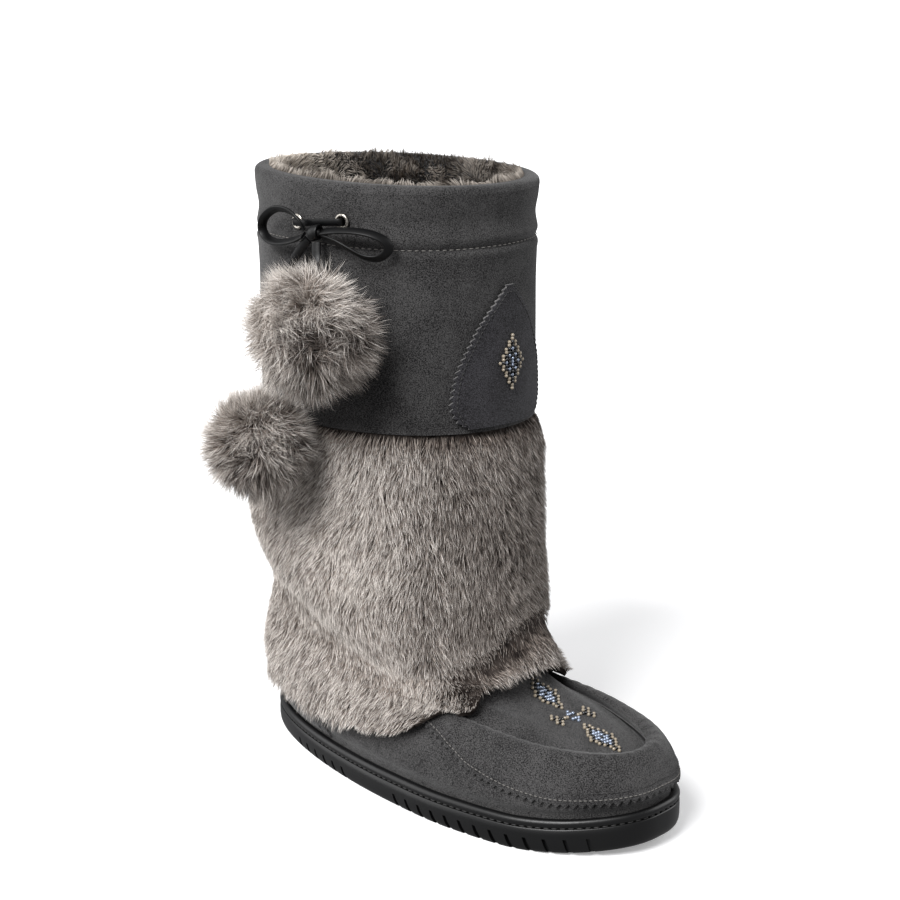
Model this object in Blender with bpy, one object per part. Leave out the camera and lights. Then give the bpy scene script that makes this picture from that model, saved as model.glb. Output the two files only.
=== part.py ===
"""A right mukluk boot: moccasin foot, rabbit fur shaft, suede cuff, beaded patch place and pompoms.

Metres, +Z up. The toe points along +X and the outer side of the foot is -Y.
The origin is on the floor under the shaft's axis.
"""
import math

import bmesh
import bpy
import numpy as np

MM = 0.001
GAP = 0.3 * MM                  # between pieces that touch

# Outsole
SOLE_L = 274 * MM               # heel to toe
HEEL_BACK = 89 * MM             # from the shaft's axis back to the heel
BALL_W = 114 * MM               # widest place of the sole
SIDE_HEEL = 10 * MM             # sidewall below the groove, at the heel
SIDE_TOE = 13 * MM              # and at the toe
TOE_SPRING = 6.5 * MM           # rise of the tread at the toe's tip
SPRING_L = 60 * MM              # length of the rise
ARCH_RISE = 2 * MM              # hollow under the waist
BEAD_H = 5.1 * MM               # bead above the sidewall
SEAT_H = 2.3 * MM               # seat of the upper above the sidewall
SOLE_ROUND = 2.6                # roundness of the outline, 2 is an ellipse

# Tread
SLASH_W = 1.7 * MM
SLASH_DEEP = 4.5 * MM
SLASH_H_HEEL = 4.5 * MM
SLASH_H_TOE = 7 * MM
SLASH_PITCH = 9.4 * MM
SLASH_HEEL_FROM = 0.179         # first and last slash of two groups, as shares of SOLE_L
SLASH_HEEL_TO = 0.354
SLASH_BALL_FROM = 0.518
SLASH_BALL_TO = 0.931
CHEVRON_W = 3.2 * MM
CHEVRON_DEEP = 1.8 * MM
CHEVRON_PITCH = 19 * MM
CHEVRON_HALF = 30 * MM          # half of a chevron across the ball

# Upper
WALL = 3 * MM                   # suede, felt and lining together
ANKLE_H = 120 * MM              # where the foot has turned into the shaft
COLLAR_H = 318 * MM             # top edge of the upper's wall
SHAFT_L = 152 * MM              # shaft fore and aft, outside the wall
SHAFT_W = 121 * MM              # shaft across
RIM_TILT = 0.02                 # the collar is lower at the front

INSOLE_T = 5 * MM
OVERLAY_T = 1.4 * MM            # apron and heel counter

# Fur sleeve
FUR_T = 10 * MM                 # pile over the shaft
FUR_HEM_T = 3 * MM              # pile at the hem
LOCK_T = 2.2 * MM               # how far a lock stands out
HEM_DROP = 3 * MM               # how far the locks hang below the hem

# Cuff
CUFF_H = 120 * MM               # from its lower edge to the collar
CUFF_T = 2.7 * MM               # suede and its felt
FACE_OUT = GAP + 1.17 * CUFF_T  # highest face under the patch and eyelets, out from the wall
ROLL_T = 4.8 * MM               # roll over the collar
LINER_DROP = 18 * MM            # suede turned down inside
PATCH_H = 74 * MM
PATCH_W = 62 * MM
PATCH_T = 1.6 * MM

# Drawstring, eyelets and pompoms
EYELET_R = 3.8 * MM
EYELET_HOLE = 2.2 * MM
EYELET_T = 1.1 * MM
LACE_R = 1.3 * MM
POMPOM_FRONT_R = 31 * MM
POMPOM_BACK_R = 26 * MM
REST_ON_CUFF = 4.4 * MM         # how far out of the shaft's plain ellipse a pompom rests
REST_ON_FUR = FUR_T + 4 * MM

AROUND = 40                     # points around the boot

# Outline of the sole: shares of SOLE_L from the heel, and half widths as shares of BALL_W
OUTLINE = {
    "along": (0.00, 0.10, 0.20, 0.35, 0.50, 0.65, 0.78, 0.88, 1.00),
    "outer": (0.300, 0.360, 0.404, 0.456, 0.496, 0.518, 0.518, 0.491, 0.400),
    "inner": (0.330, 0.350, 0.358, 0.362, 0.390, 0.450, 0.488, 0.490, 0.440),
}

# Sidewall of the sole from the tread up: inset from the outline, share of the sidewall's
# height, and share of the bead's height above that
SOLE_SIDE = {
    "inset_mm": (2.2, 0.7, 0.0, 0.3, 1.8, 1.8, 0.3, 0.0, 0.9, 2.4, 4.1, 4.4),
    "side": (0.0, 0.1, 0.38, 1.0, 1.0, 1.0, 1.0, 1.0, 1.0, 1.0, 1.0, 1.0),
    "bead": (0.0, 0.0, 0.0, 0.0, 0.05, 0.18, 0.24, 0.59, 0.90, 1.0, 0.90, None),
}

# Sections of the upper, feather line to collar.
# back, front: ends as shares of SOLE_L from the heel. in_*: inset from the sole's outline as
# shares of BALL_W. shaft: how far the section is the shaft's oval, girth: its size as a share.
# z_*: height at back, middle and front, 1 is the ankle and 2 the collar. seat: share of the
# seat's own height that is added.
SECTIONS = (
    # name       back   front  round in_b   in_m   in_f   shaft girth z_b    z_m    z_f    seat
    ("feather",  0.018, 0.982, 2.6, 0.044, 0.044, 0.044, 0.00, 1.00, 0.000, 0.000, 0.000, 1.0),
    ("bead",     0.018, 0.983, 2.6, 0.042, 0.042, 0.042, 0.00, 1.00, 0.033, 0.033, 0.033, 1.0),
    ("bulge",    0.012, 0.992, 2.6, 0.028, 0.023, 0.019, 0.00, 1.00, 0.090, 0.082, 0.068, 1.0),
    ("side",     0.014, 0.988, 2.6, 0.033, 0.030, 0.026, 0.00, 1.00, 0.220, 0.188, 0.145, 0.8),
    ("shoulder", 0.018, 0.975, 2.6, 0.044, 0.055, 0.057, 0.00, 1.00, 0.357, 0.300, 0.250, 0.6),
    ("ridge",    0.022, 0.957, 2.5, 0.053, 0.100, 0.114, 0.00, 1.00, 0.493, 0.405, 0.325, 0.4),
    ("plug",     0.025, 0.936, 2.5, 0.061, 0.120, 0.162, 0.00, 1.00, 0.627, 0.440, 0.292, 0.4),
    ("vamp",     0.029, 0.895, 2.4, 0.070, 0.130, 0.237, 0.02, 1.00, 0.760, 0.505, 0.325, 0.3),
    ("instep",   0.033, 0.815, 2.4, 0.079, 0.125, 0.290, 0.10, 1.00, 0.885, 0.600, 0.368, 0.3),
    ("throat",   0.037, 0.735, 2.3, 0.088, 0.110, 0.300, 0.30, 1.00, 0.990, 0.705, 0.425, 0.2),
    ("tongue",   0.040, 0.690, 2.2, 0.088, 0.079, 0.290, 0.55, 1.04, 1.070, 0.810, 0.520, 0.1),
    ("fold",     0.040, 0.655, 2.2, 0.088, 0.079, 0.260, 0.85, 1.06, 1.140, 0.930, 0.660, 0.0),
    ("ankle",    0.040, 0.640, 2.1, 0.088, 0.079, 0.260, 1.00, 1.04, 1.200, 1.050, 0.860, 0.0),
    ("calf",     0.040, 0.640, 2.1, 0.088, 0.079, 0.260, 1.00, 1.00, 1.280, 1.180, 1.060, 0.0),
    ("shaft",    0.040, 0.640, 2.1, 0.088, 0.079, 0.260, 1.00, 0.99, 1.340, 1.290, 1.240, 0.0),
    ("band",     0.040, 0.640, 2.1, 0.088, 0.079, 0.260, 1.00, 1.00, 1.400, 1.400, 1.400, 0.0),
    ("collar",   0.040, 0.640, 2.1, 0.088, 0.079, 0.260, 1.00, 1.00, 2.000, 2.000, 2.000, 0.0),
)
COLUMNS = ("back", "front", "round", "in_b", "in_m", "in_f", "shaft", "girth",
           "z_b", "z_m", "z_f", "seat")
ROW = {row[0]: k for k, row in enumerate(SECTIONS)}
COLLAR_V = float(len(SECTIONS) - 1)

# Lower edges on the upper: degrees from the toe, and the section that the edge follows
APRON_EDGE = {"deg": (0, 11, 39, 51, 65, 70, 79, 86),
              "row": (2.05, 2.0, 2.1, 2.5, 3.1, 3.6, 4.3, 4.6)}
APRON_REACH = 82                # degrees to each side
APRON_TOP = ROW["plug"] - 0.5
HEM_EDGE = {"deg": (0, 16, 30, 45, 58, 70, 82, 100, 130, 180),
            "row": (10.1, 9.8, 9.0, 8.1, 6.7, 4.9, 3.9, 3.25, 2.9, 2.75)}
COUNTER_SEAM = (115, 121)       # degrees from the toe, at the sole and at the counter's top
COUNTER_TOP = 3.6

# Thickness of the fur: height share between the floor and the cuff, and share of FUR_T
PILE = {"up": (0.00, 0.20, 0.29, 0.40, 0.50, 0.62, 0.80, 0.93, 1.00),
        "back": (0.10, 0.25, 0.70, 0.30, 0.10, 0.12, 0.10, 0.25, 0.22),
        "front": (0.20, 0.30, 0.60, 0.25, 0.20, 0.55, 0.80, 0.75, 0.25)}

# Half of the patch: height share of PATCH_H, half width as a share of half of PATCH_W
PATCH = {"up": (0.02, 0.07, 0.18, 0.36, 0.58, 0.73, 0.88, 0.96, 1.00),
         "half": (0.72, 0.90, 1.00, 0.95, 0.75, 0.56, 0.28, 0.12, 0.03)}

# Profile of the cuff. out: distance out from the wall as a share of CUFF_T. through: how far the
# point is through the wall, 1 is inside the boot. side: height as a share of CUFF_H from the
# cuff's lower edge, None is the end of the suede inside. roll: share of ROLL_T above the collar.
CUFF = {
    "out": (0.0, 1.0, 1.04, 1.0, 1.19, 0.89, 1.15, 0.85, 1.30, 1.52, 1.26, 0.37, -0.26, -0.63, -0.93,
            -0.78, -0.78, 0.0, 0.0, 0.0),
    "through": (0.0, 0.0, 0.0, 0.0, 0.0, 0.0, 0.0, 0.0, 0.0, 0.0, 0.0, 0.0, 0.5, 1.0, 1.0, 1.0,
                1.0, 1.0, 1.0, 0.0),
    "side": (0.0, 0.0, 0.30, 0.58, 0.74, 0.78, 0.82, 0.88, 0.95, 1.0, 1.0, 1.0, 1.0, 1.0, 1.0, 0.93,
             None, None, 1.0, 1.0),
    "roll": (0.0, 0.0, 0.0, 0.0, 0.0, 0.0, 0.0, 0.0, 0.0, 0.15, 0.70, 1.0, 1.0, 0.70, 0.10, 0.0,
             0.0, 0.0, 0.10, 0.10),
}

# Routes of the lace, through the bow on the outer side, in millimetres; heights are from the
# collar's edge
LACE_BAR = ((3.0, -68.6, -16.4), (8.0, -68.9, -15.8), (13.5, -68.4, -15.2))    # between the eyelets
LOOP_BACK = ((8.0, -71.5, -19.1), (6.0, -73.2, -14.4), (-1.5, -73.2, -10.4), (-12.9, -72.0, -10.6),
             (-24.0, -69.4, -16.0), (-28.0, -67.6, -22.4), (-23.0, -68.2, -27.0),
             (-12.3, -70.2, -27.4), (0.5, -71.6, -24.8), (7.4, -71.4, -21.8))
LOOP_FRONT = ((19.7, -70.2, -19.1), (29.6, -69.2, -17.6), (39.2, -66.4, -17.2), (47.2, -62.7, -18.4),
              (52.6, -58.8, -21.7), (53.1, -57.6, -26.2), (48.0, -59.6, -30.3), (41.5, -62.6, -30.1),
              (34.8, -66.0, -26.8), (28.2, -68.3, -23.7), (19.7, -70.0, -21.4))
TAIL_FRONT = ((15.9, -70.6, -24.6), (16.6, -71.4, -28.4), (17.4, -72.0, -31.4), (18.5, -73.2, -34.4),
              (19.4, -74.7, -36.4))
TAIL_BACK = ((9.6, -70.4, -23.8), (5.8, -70.6, -27.6), (0.4, -70.6, -33.6), (-4.8, -70.2, -41.6),
             (-9.6, -69.4, -52.0), (-13.4, -68.8, -64.0), (-15.2, -69.2, -76.0), (-14.6, -71.4, -87.0),
             (-12.2, -75.6, -95.6), (-9.0, -81.4, -101.9))
KNOT = (14.0, -70.5, -19.9)
KNOT_SIZE = (5.6, 3.0, 3.6)     # half sizes in millimetres
EYELETS = {"eyelet_back": (-93.4, -16.8), "eyelet_front": (-71.6, -14.4)}    # degrees, height
POMPOM_FRONT = (26.0, -84.3, -65.7)
POMPOM_BACK = (-6.0, -92.8, -126.2)

COLOURS = {
    "outsole": ((0.020, 0.020, 0.023), 0.55), "insole": ((0.10, 0.09, 0.08), 0.95),
    "upper": ((0.055, 0.055, 0.056), 0.92), "apron": ((0.058, 0.057, 0.058), 0.92),
    "heel_counter": ((0.056, 0.056, 0.057), 0.92), "fur_shaft": ((0.22, 0.19, 0.17), 0.95),
    "cuff": ((0.060, 0.060, 0.061), 0.92), "cuff_patch": ((0.050, 0.050, 0.051), 0.92),
    "eyelet": ((0.62, 0.60, 0.57), 0.28), "lace": ((0.012, 0.012, 0.013), 0.45),
    "pompom_front": ((0.36, 0.32, 0.29), 0.95), "pompom_back": ((0.20, 0.17, 0.15), 0.95),
}


def smooth_table(xs, ys, x):
    """Monotone cubic through a table, with no overshoot between its rows."""
    xs = np.asarray(xs, float)
    ys = np.asarray(ys, float)
    x = np.clip(np.asarray(x, float), xs[0], xs[-1])
    step = np.diff(xs)
    slope = np.diff(ys) / step
    tangent = np.zeros_like(ys)
    tangent[0] = slope[0]
    tangent[-1] = slope[-1]
    for k in range(1, len(ys) - 1):
        if slope[k - 1] * slope[k] > 0:
            tangent[k] = 2 / (1 / slope[k - 1] + 1 / slope[k])
    k = np.clip(np.searchsorted(xs, x, side="right") - 1, 0, len(step) - 1)
    t = (x - xs[k]) / step[k]
    h = step[k]
    return ((2 * t**3 - 3 * t**2 + 1) * ys[k] + (t**3 - 2 * t**2 + t) * h * tangent[k]
            + (3 * t**2 - 2 * t**3) * ys[k + 1] + (t**3 - t**2) * h * tangent[k + 1])


def three_point(back, middle, front, t):
    """Parabola through values at t = 0, 0.5 and 1."""
    return (back * (1 - t) * (1 - 2 * t) + middle * 4 * t * (1 - t) + front * t * (2 * t - 1))


def mix(a, b, share):
    return a + (b - a) * share


def sole_share(x):
    """Share of the sole's length, 0 at the heel and 1 at the toe."""
    return np.clip((x + HEEL_BACK) / SOLE_L, 0, 1)


def along_sole(share):
    return share * SOLE_L - HEEL_BACK


def sole_half(x, inner):
    share = sole_share(x)
    outer_half = smooth_table(OUTLINE["along"], OUTLINE["outer"], share)
    inner_half = smooth_table(OUTLINE["along"], OUTLINE["inner"], share)
    return np.where(inner, inner_half, outer_half) * BALL_W


def toe_rise(x):
    start = SOLE_L - HEEL_BACK - SPRING_L
    return TOE_SPRING * np.clip((x - start) / SPRING_L, 0, 1.1) ** 2


def side_height(x):
    return mix(SIDE_HEEL, SIDE_TOE, sole_share(x))


def seat_height(x):
    return toe_rise(x) + side_height(x) + SEAT_H


def oval(phi, roundness):
    """Unit closed curve, cos along X, full at the middle of each side."""
    c = np.cos(phi)
    s = (1 - np.minimum(np.abs(c), 1) ** roundness) ** (1 / roundness)
    return c, s * np.sign(np.sin(phi))


def level(v):
    """Height of a section's z share: 0 floor, 1 ankle, 2 collar."""
    return np.where(v < 1, v * ANKLE_H, ANKLE_H + (v - 1) * (COLLAR_H - ANKLE_H))


def upper_surface(phi, v):
    """Outside of the upper. phi is the angle from the toe, v the section."""
    phi, v = np.broadcast_arrays(np.asarray(phi, float), np.asarray(v, float))
    rows = np.arange(len(SECTIONS))
    col = {}
    for k, name in enumerate(COLUMNS):
        col[name] = smooth_table(rows, [row[k + 1] for row in SECTIONS], v)
    c, s = oval(phi, col["round"])
    shaft_half = SHAFT_L / 2 * col["girth"]
    back = mix(col["back"] * SOLE_L - HEEL_BACK, -shaft_half, col["shaft"])
    front = mix(col["front"] * SOLE_L - HEEL_BACK, shaft_half, col["shaft"])
    x = (back + front) / 2 + (front - back) / 2 * c
    t = (1 + c) / 2
    inset = three_point(col["in_b"], col["in_m"], col["in_f"], t) * BALL_W
    foot_half = sole_half(x, s > 0) - inset
    half = mix(foot_half, SHAFT_W / 2 * col["girth"], col["shaft"])
    share = three_point(col["z_b"], col["z_m"], col["z_f"], t)
    z = col["seat"] * seat_height(x) + GAP + level(share)
    z = z - RIM_TILT * x * np.clip(share - 1, 0, 1)
    return np.stack([x, half * s, z], -1)


def upper_offset(phi, v, out):
    """The same surface moved out along its normal; out may be negative."""
    phi, v, out = np.broadcast_arrays(np.asarray(phi, float), np.asarray(v, float),
                                      np.asarray(out, float))
    dphi = 0.03
    dv = 0.12
    low = np.clip(v - dv, 0, COLLAR_V)
    high = np.clip(v + dv, 0, COLLAR_V)
    along = upper_surface(phi + dphi, v) - upper_surface(phi - dphi, v)
    up = upper_surface(phi, high) - upper_surface(phi, low)
    normal = np.cross(along, up)
    normal /= np.linalg.norm(normal, axis=-1, keepdims=True)
    return upper_surface(phi, v) + normal * out[..., None]


def section_at(phi, height):
    """The section value where the surface reaches a height on the shaft."""
    low = np.full(np.shape(phi), float(ROW["tongue"]))
    high = np.full(np.shape(phi), COLLAR_V)
    for _ in range(40):
        middle = (low + high) / 2
        below = upper_surface(phi, middle)[..., 2] < height
        low = np.where(below, middle, low)
        high = np.where(below, high, middle)
    return (low + high) / 2


def around(count=AROUND):
    return np.arange(count) * 2 * math.pi / count


def make_object(name, verts, faces, colour):
    """One closed mesh object with its own material, faces out."""
    mesh = bpy.data.meshes.new(name)
    bm = bmesh.new()
    points = [bm.verts.new([float(c) for c in p]) for p in verts]
    for face in faces:
        bm.faces.new([points[i] for i in face])
    bmesh.ops.recalc_face_normals(bm, faces=bm.faces)
    if bm.calc_volume(signed=True) < 0:
        bmesh.ops.reverse_faces(bm, faces=bm.faces)
    bm.to_mesh(mesh)
    bm.free()
    obj = bpy.data.objects.new(name, mesh)
    bpy.context.scene.collection.objects.link(obj)
    mesh.shade_smooth()
    mesh.set_sharp_from_angle(angle=math.radians(40))
    paint(obj, colour)
    return obj


def paint(obj, colour):
    rgb, rough = COLOURS[colour]
    material = bpy.data.materials.new(obj.name)
    material.use_nodes = True
    shader = material.node_tree.nodes["Principled BSDF"]
    shader.inputs["Base Color"].default_value = (*rgb, 1)
    shader.inputs["Roughness"].default_value = rough
    shader.inputs["Metallic"].default_value = 1.0 if colour == "eyelet" else 0.0
    material.diffuse_color = (*rgb, 1)
    obj.data.materials.append(material)


def grid_faces(rows, cols, start=0, closed=True, flip=False):
    faces = []
    for r in range(rows - 1):
        for c in range(cols if closed else cols - 1):
            n = (c + 1) % cols
            quad = [start + r * cols + c, start + r * cols + n,
                    start + (r + 1) * cols + n, start + (r + 1) * cols + c]
            faces.append(quad[::-1] if flip else quad)
    return faces


def tube_shell(name, outer, inner, colour):
    """Closed ring of wall between two grids of rows by points around."""
    rows, cols = outer.shape[:2]
    inner_rows = inner.shape[0]
    verts = list(outer.reshape(-1, 3)) + list(inner.reshape(-1, 3))
    start = rows * cols
    faces = grid_faces(rows, cols) + grid_faces(inner_rows, cols, start, flip=True)
    top = start + (inner_rows - 1) * cols
    for c in range(cols):
        n = (c + 1) % cols
        faces.append([c, start + c, start + n, n])
        faces.append([(rows - 1) * cols + c, (rows - 1) * cols + n, top + n, top + c])
    return make_object(name, verts, faces, colour)


def sheet_shell(name, outer, inner, colour):
    """Closed patch of wall between two grids of the same size."""
    rows, cols = outer.shape[:2]
    verts = list(outer.reshape(-1, 3)) + list(inner.reshape(-1, 3))
    start = rows * cols
    faces = grid_faces(rows, cols, closed=False)
    faces += grid_faces(rows, cols, start, closed=False, flip=True)
    for c in range(cols - 1):
        last = (rows - 1) * cols + c
        faces.append([c, start + c, start + c + 1, c + 1])
        faces.append([last, last + 1, start + last + 1, start + last])
    for r in range(rows - 1):
        left = r * cols
        right = left + cols - 1
        faces.append([left, left + cols, start + left + cols, start + left])
        faces.append([right, start + right, start + right + cols, right + cols])
    return make_object(name, verts, faces, colour)


def sole_ring(inset, height):
    """Points around the sole at an inset, with a height for each x."""
    phi = around()
    c, s = oval(phi, SOLE_ROUND)
    middle = SOLE_L / 2 - HEEL_BACK
    x = middle + (SOLE_L / 2 - inset) * c
    y = (sole_half(x, s > 0) - inset) * s
    return np.stack([x, y, height(x)], -1)


def across_faces(verts, ring_start, height, columns, flip):
    """Fill a ring with strips that run across the foot, at the same x on both sides."""
    faces = []
    half = AROUND // 2
    strips = []
    for k in range(1, half):
        left = verts[ring_start + AROUND - k]
        right = verts[ring_start + k]
        strip = [ring_start + AROUND - k]
        for j in range(1, columns):
            share = j / columns
            point = left + (right - left) * share
            point = np.array([point[0], point[1], height(point[0], share)])
            verts.append(point)
            strip.append(len(verts) - 1)
        strip.append(ring_start + k)
        strips.append(strip)
    for tip, strip in ((ring_start, strips[0]), (ring_start + half, strips[-1][::-1])):
        for j in range(columns):
            faces.append([tip, strip[j], strip[j + 1]])
    for a, b in zip(strips[:-1], strips[1:]):
        for j in range(columns):
            faces.append([a[j], b[j], b[j + 1], a[j + 1]])
    return [f[::-1] for f in faces] if flip else faces


def slash_cutter(phi, verts, faces):
    """One curved slot in the lower sidewall, sloping down towards the toe."""
    step = 0.01
    inset_ring = []
    for angle in (phi - step, phi, phi + step):
        c, s = oval(angle, SOLE_ROUND)
        x = SOLE_L / 2 - HEEL_BACK + SOLE_L / 2 * c
        inset_ring.append(np.array([float(x), float(sole_half(x, s > 0) * s), 0.0]))
    here = inset_ring[1]
    tangent = inset_ring[2] - inset_ring[0]
    tangent /= np.linalg.norm(tangent)
    if tangent[0] < 0:
        tangent = -tangent
    outward = np.array([tangent[1], -tangent[0], 0.0])
    if outward[1] * here[1] < 0:
        outward = -outward
    high = mix(SLASH_H_HEEL, SLASH_H_TOE, float(sole_share(here[0]))) + float(toe_rise(here[0]))
    w = SLASH_W / 2
    outline = [(-w, high), (w * 0.6, high), (1.4 * w + w, high * 0.5), (4 * w + w, -1 * MM),
               (4 * w - 1.4 * w, -1 * MM), (1.4 * w - w, high * 0.45)]
    start = len(verts)
    for out in (-SLASH_DEEP, 2 * MM):
        for along, z in outline:
            verts.append(here + tangent * along + outward * out + np.array([0, 0, z]))
    n = len(outline)
    faces.append([start + i for i in range(n)])
    faces.append([start + n + i for i in range(n)][::-1])
    for i in range(n):
        j = (i + 1) % n
        faces.append([start + i, start + n + i, start + n + j, start + j])


def chevron_cutter(x, half, verts, faces):
    """One shallow V across the tread."""
    w = CHEVRON_W / 2
    point = half * 0.3
    outline = [(x - w, -half), (x + w, -half), (x + w + point, 0), (x + w, half),
               (x - w, half), (x - w + point, 0)]
    start = len(verts)
    for z in (-2 * MM, CHEVRON_DEEP):
        for px, py in outline:
            verts.append(np.array([px, py, z + float(toe_rise(px))]))
    n = len(outline)
    faces.append([start, start + 5, start + 2, start + 1])
    faces.append([start + 5, start + 4, start + 3, start + 2])
    faces.append([start + n, start + n + 1, start + n + 2, start + n + 5])
    faces.append([start + n + 5, start + n + 2, start + n + 3, start + n + 4])
    for i in range(n):
        j = (i + 1) % n
        faces.append([start + i, start + j, start + n + j, start + n + i])


def spaced(first, last, pitch):
    count = max(int((last - first) / pitch), 1)
    return [first + pitch * k for k in range(count + 1) if first + pitch * k <= last]


def cut(target, name, verts, faces):
    cutter = make_object(name, verts, faces, "outsole")
    cutter.hide_render = True
    cutter.display_type = "WIRE"
    boolean = target.modifiers.new(name, "BOOLEAN")
    boolean.operation = "DIFFERENCE"
    boolean.solver = "EXACT"
    boolean.object = cutter


def build_outsole():
    verts = []
    faces = []
    rows = len(SOLE_SIDE["inset_mm"])
    for inset, side, bead in zip(SOLE_SIDE["inset_mm"], SOLE_SIDE["side"], SOLE_SIDE["bead"]):
        rise = SEAT_H if bead is None else bead * BEAD_H
        ring = sole_ring(inset * MM, lambda x: toe_rise(x) + side * side_height(x) + rise)
        verts += list(ring)
    faces += grid_faces(rows, AROUND)
    heel_from, heel_to = along_sole(SLASH_HEEL_FROM), along_sole(SLASH_HEEL_TO)
    ball_from, ball_to = along_sole(SLASH_BALL_FROM), along_sole(SLASH_BALL_TO)
    waist = (heel_to + ball_from) / 2
    waist_half = (ball_from - heel_to) / 2

    def tread(x, share):
        hollow = max(0.0, 1 - ((x - waist) / waist_half) ** 2)
        return float(toe_rise(x)) + ARCH_RISE * hollow * math.sin(math.pi * share)

    faces += across_faces(verts, 0, tread, 4, True)
    faces += across_faces(verts, (rows - 1) * AROUND, lambda x, share: float(seat_height(x)), 2, False)
    outsole = make_object("outsole", verts, faces, "outsole")

    slots = []
    slot_faces = []
    middle = SOLE_L / 2 - HEEL_BACK
    for x in spaced(heel_from, heel_to, SLASH_PITCH) + spaced(ball_from, ball_to, SLASH_PITCH):
        angle = math.acos((x - middle) / (SOLE_L / 2))
        slash_cutter(angle, slots, slot_faces)
        slash_cutter(-angle, slots, slot_faces)
    cut(outsole, "slash_cutter", slots, slot_faces)
    chevrons = []
    chevron_faces = []
    for x in spaced(ball_from + CHEVRON_PITCH, ball_to - 2 * CHEVRON_PITCH, CHEVRON_PITCH):
        chevron_cutter(x, CHEVRON_HALF, chevrons, chevron_faces)
    for x in spaced(heel_from - CHEVRON_PITCH, heel_from + CHEVRON_PITCH, CHEVRON_PITCH):
        chevron_cutter(x, CHEVRON_HALF * 0.7, chevrons, chevron_faces)
    cut(outsole, "chevron_cutter", chevrons, chevron_faces)


def build_insole():
    verts = []
    feather = dict(zip(COLUMNS, SECTIONS[ROW["feather"]][1:]))
    inset = feather["in_m"] * BALL_W + WALL + 2 * GAP
    low = sole_ring(inset, lambda x: seat_height(x) + GAP)
    high = sole_ring(inset, lambda x: seat_height(x) + GAP + INSOLE_T)
    verts += list(low) + list(high)
    faces = grid_faces(2, AROUND)
    faces += across_faces(verts, 0, lambda x, share: float(seat_height(x)) + GAP, 2, True)
    faces += across_faces(verts, AROUND, lambda x, share: float(seat_height(x)) + GAP + INSOLE_T,
                          2, False)
    make_object("insole", verts, faces, "insole")


def build_upper():
    rows = [float(k) for k in range(ROW["calf"])] + [ROW["calf"] + 0.5, ROW["band"], COLLAR_V]
    beside_ridge = [ROW["ridge"] - 0.5, ROW["ridge"] + 0.5]
    phi = around()[None, :]
    outer = upper_offset(phi, np.array(sorted(rows + beside_ridge))[:, None], 0.0)
    inner_rows = [v for v in rows if v not in (ROW["bead"], ROW["vamp"])]
    inner = upper_offset(phi, np.array(inner_rows)[:, None], -WALL)
    tube_shell("upper", outer, inner, "upper")


def edge_table(table, phi):
    deg = np.abs(np.degrees(np.angle(np.exp(1j * np.asarray(phi)))))
    return smooth_table(table["deg"], table["row"], deg)


def build_apron():
    steps = int(math.radians(APRON_REACH) / (2 * math.pi / AROUND))
    phi = (np.arange(-steps, steps + 1) * 2 * math.pi / AROUND)[None, :]
    low = edge_table(APRON_EDGE, phi)
    ridge = float(ROW["ridge"])
    v = np.concatenate([low + (ridge - 0.5 - low) * np.linspace(0, 1, 4)[:, None],
                        np.broadcast_to(ridge, low.shape), np.broadcast_to(APRON_TOP, low.shape)])
    sheet_shell("apron", upper_offset(phi, v, 2 * GAP + OVERLAY_T), upper_offset(phi, v, 2 * GAP),
                "apron")


def build_counter():
    count = 14
    rows = 4
    v = np.linspace(ROW["bead"] + 0.05, COUNTER_TOP, rows)[:, None]
    up = (v - v[0]) / (v[-1] - v[0])
    seam = np.radians(mix(COUNTER_SEAM[0], COUNTER_SEAM[1], up))
    phi = seam + (2 * math.pi - 2 * seam) * np.linspace(0, 1, count)[None, :]
    v = np.broadcast_to(v, phi.shape)
    sheet_shell("heel_counter", upper_offset(phi, v, 2 * GAP + OVERLAY_T),
                upper_offset(phi, v, 2 * GAP), "heel_counter")


def pile(phi, height):
    """Thickness of the fur at a height: bulges at the ankle, troughs at its folds."""
    up = height / (COLLAR_H - CUFF_H)
    front = (1 + np.cos(phi)) / 2
    share = mix(smooth_table(PILE["up"], PILE["back"], up), smooth_table(PILE["up"], PILE["front"], up),
                front)
    return share * FUR_T


def fur_gap(v):
    """Room under the fur: over the apron and counter it is theirs, on the shaft only the gap."""
    return mix(OVERLAY_T + 11 * GAP, 2 * GAP, np.clip((v - ROW["fold"]) / 2, 0, 1))


def softened(vectors, times=4):
    """Directions averaged with those beside, above and below them."""
    for _ in range(times):
        beside = (np.roll(vectors, 1, 1) + np.roll(vectors, -1, 1)) / 4
        above = np.concatenate([vectors[:1], (vectors[:-2] + vectors[2:]) / 2, vectors[-1:]])
        vectors = vectors / 2 + beside / 2 + above / 4
    return vectors / np.linalg.norm(vectors, axis=-1, keepdims=True)


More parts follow.
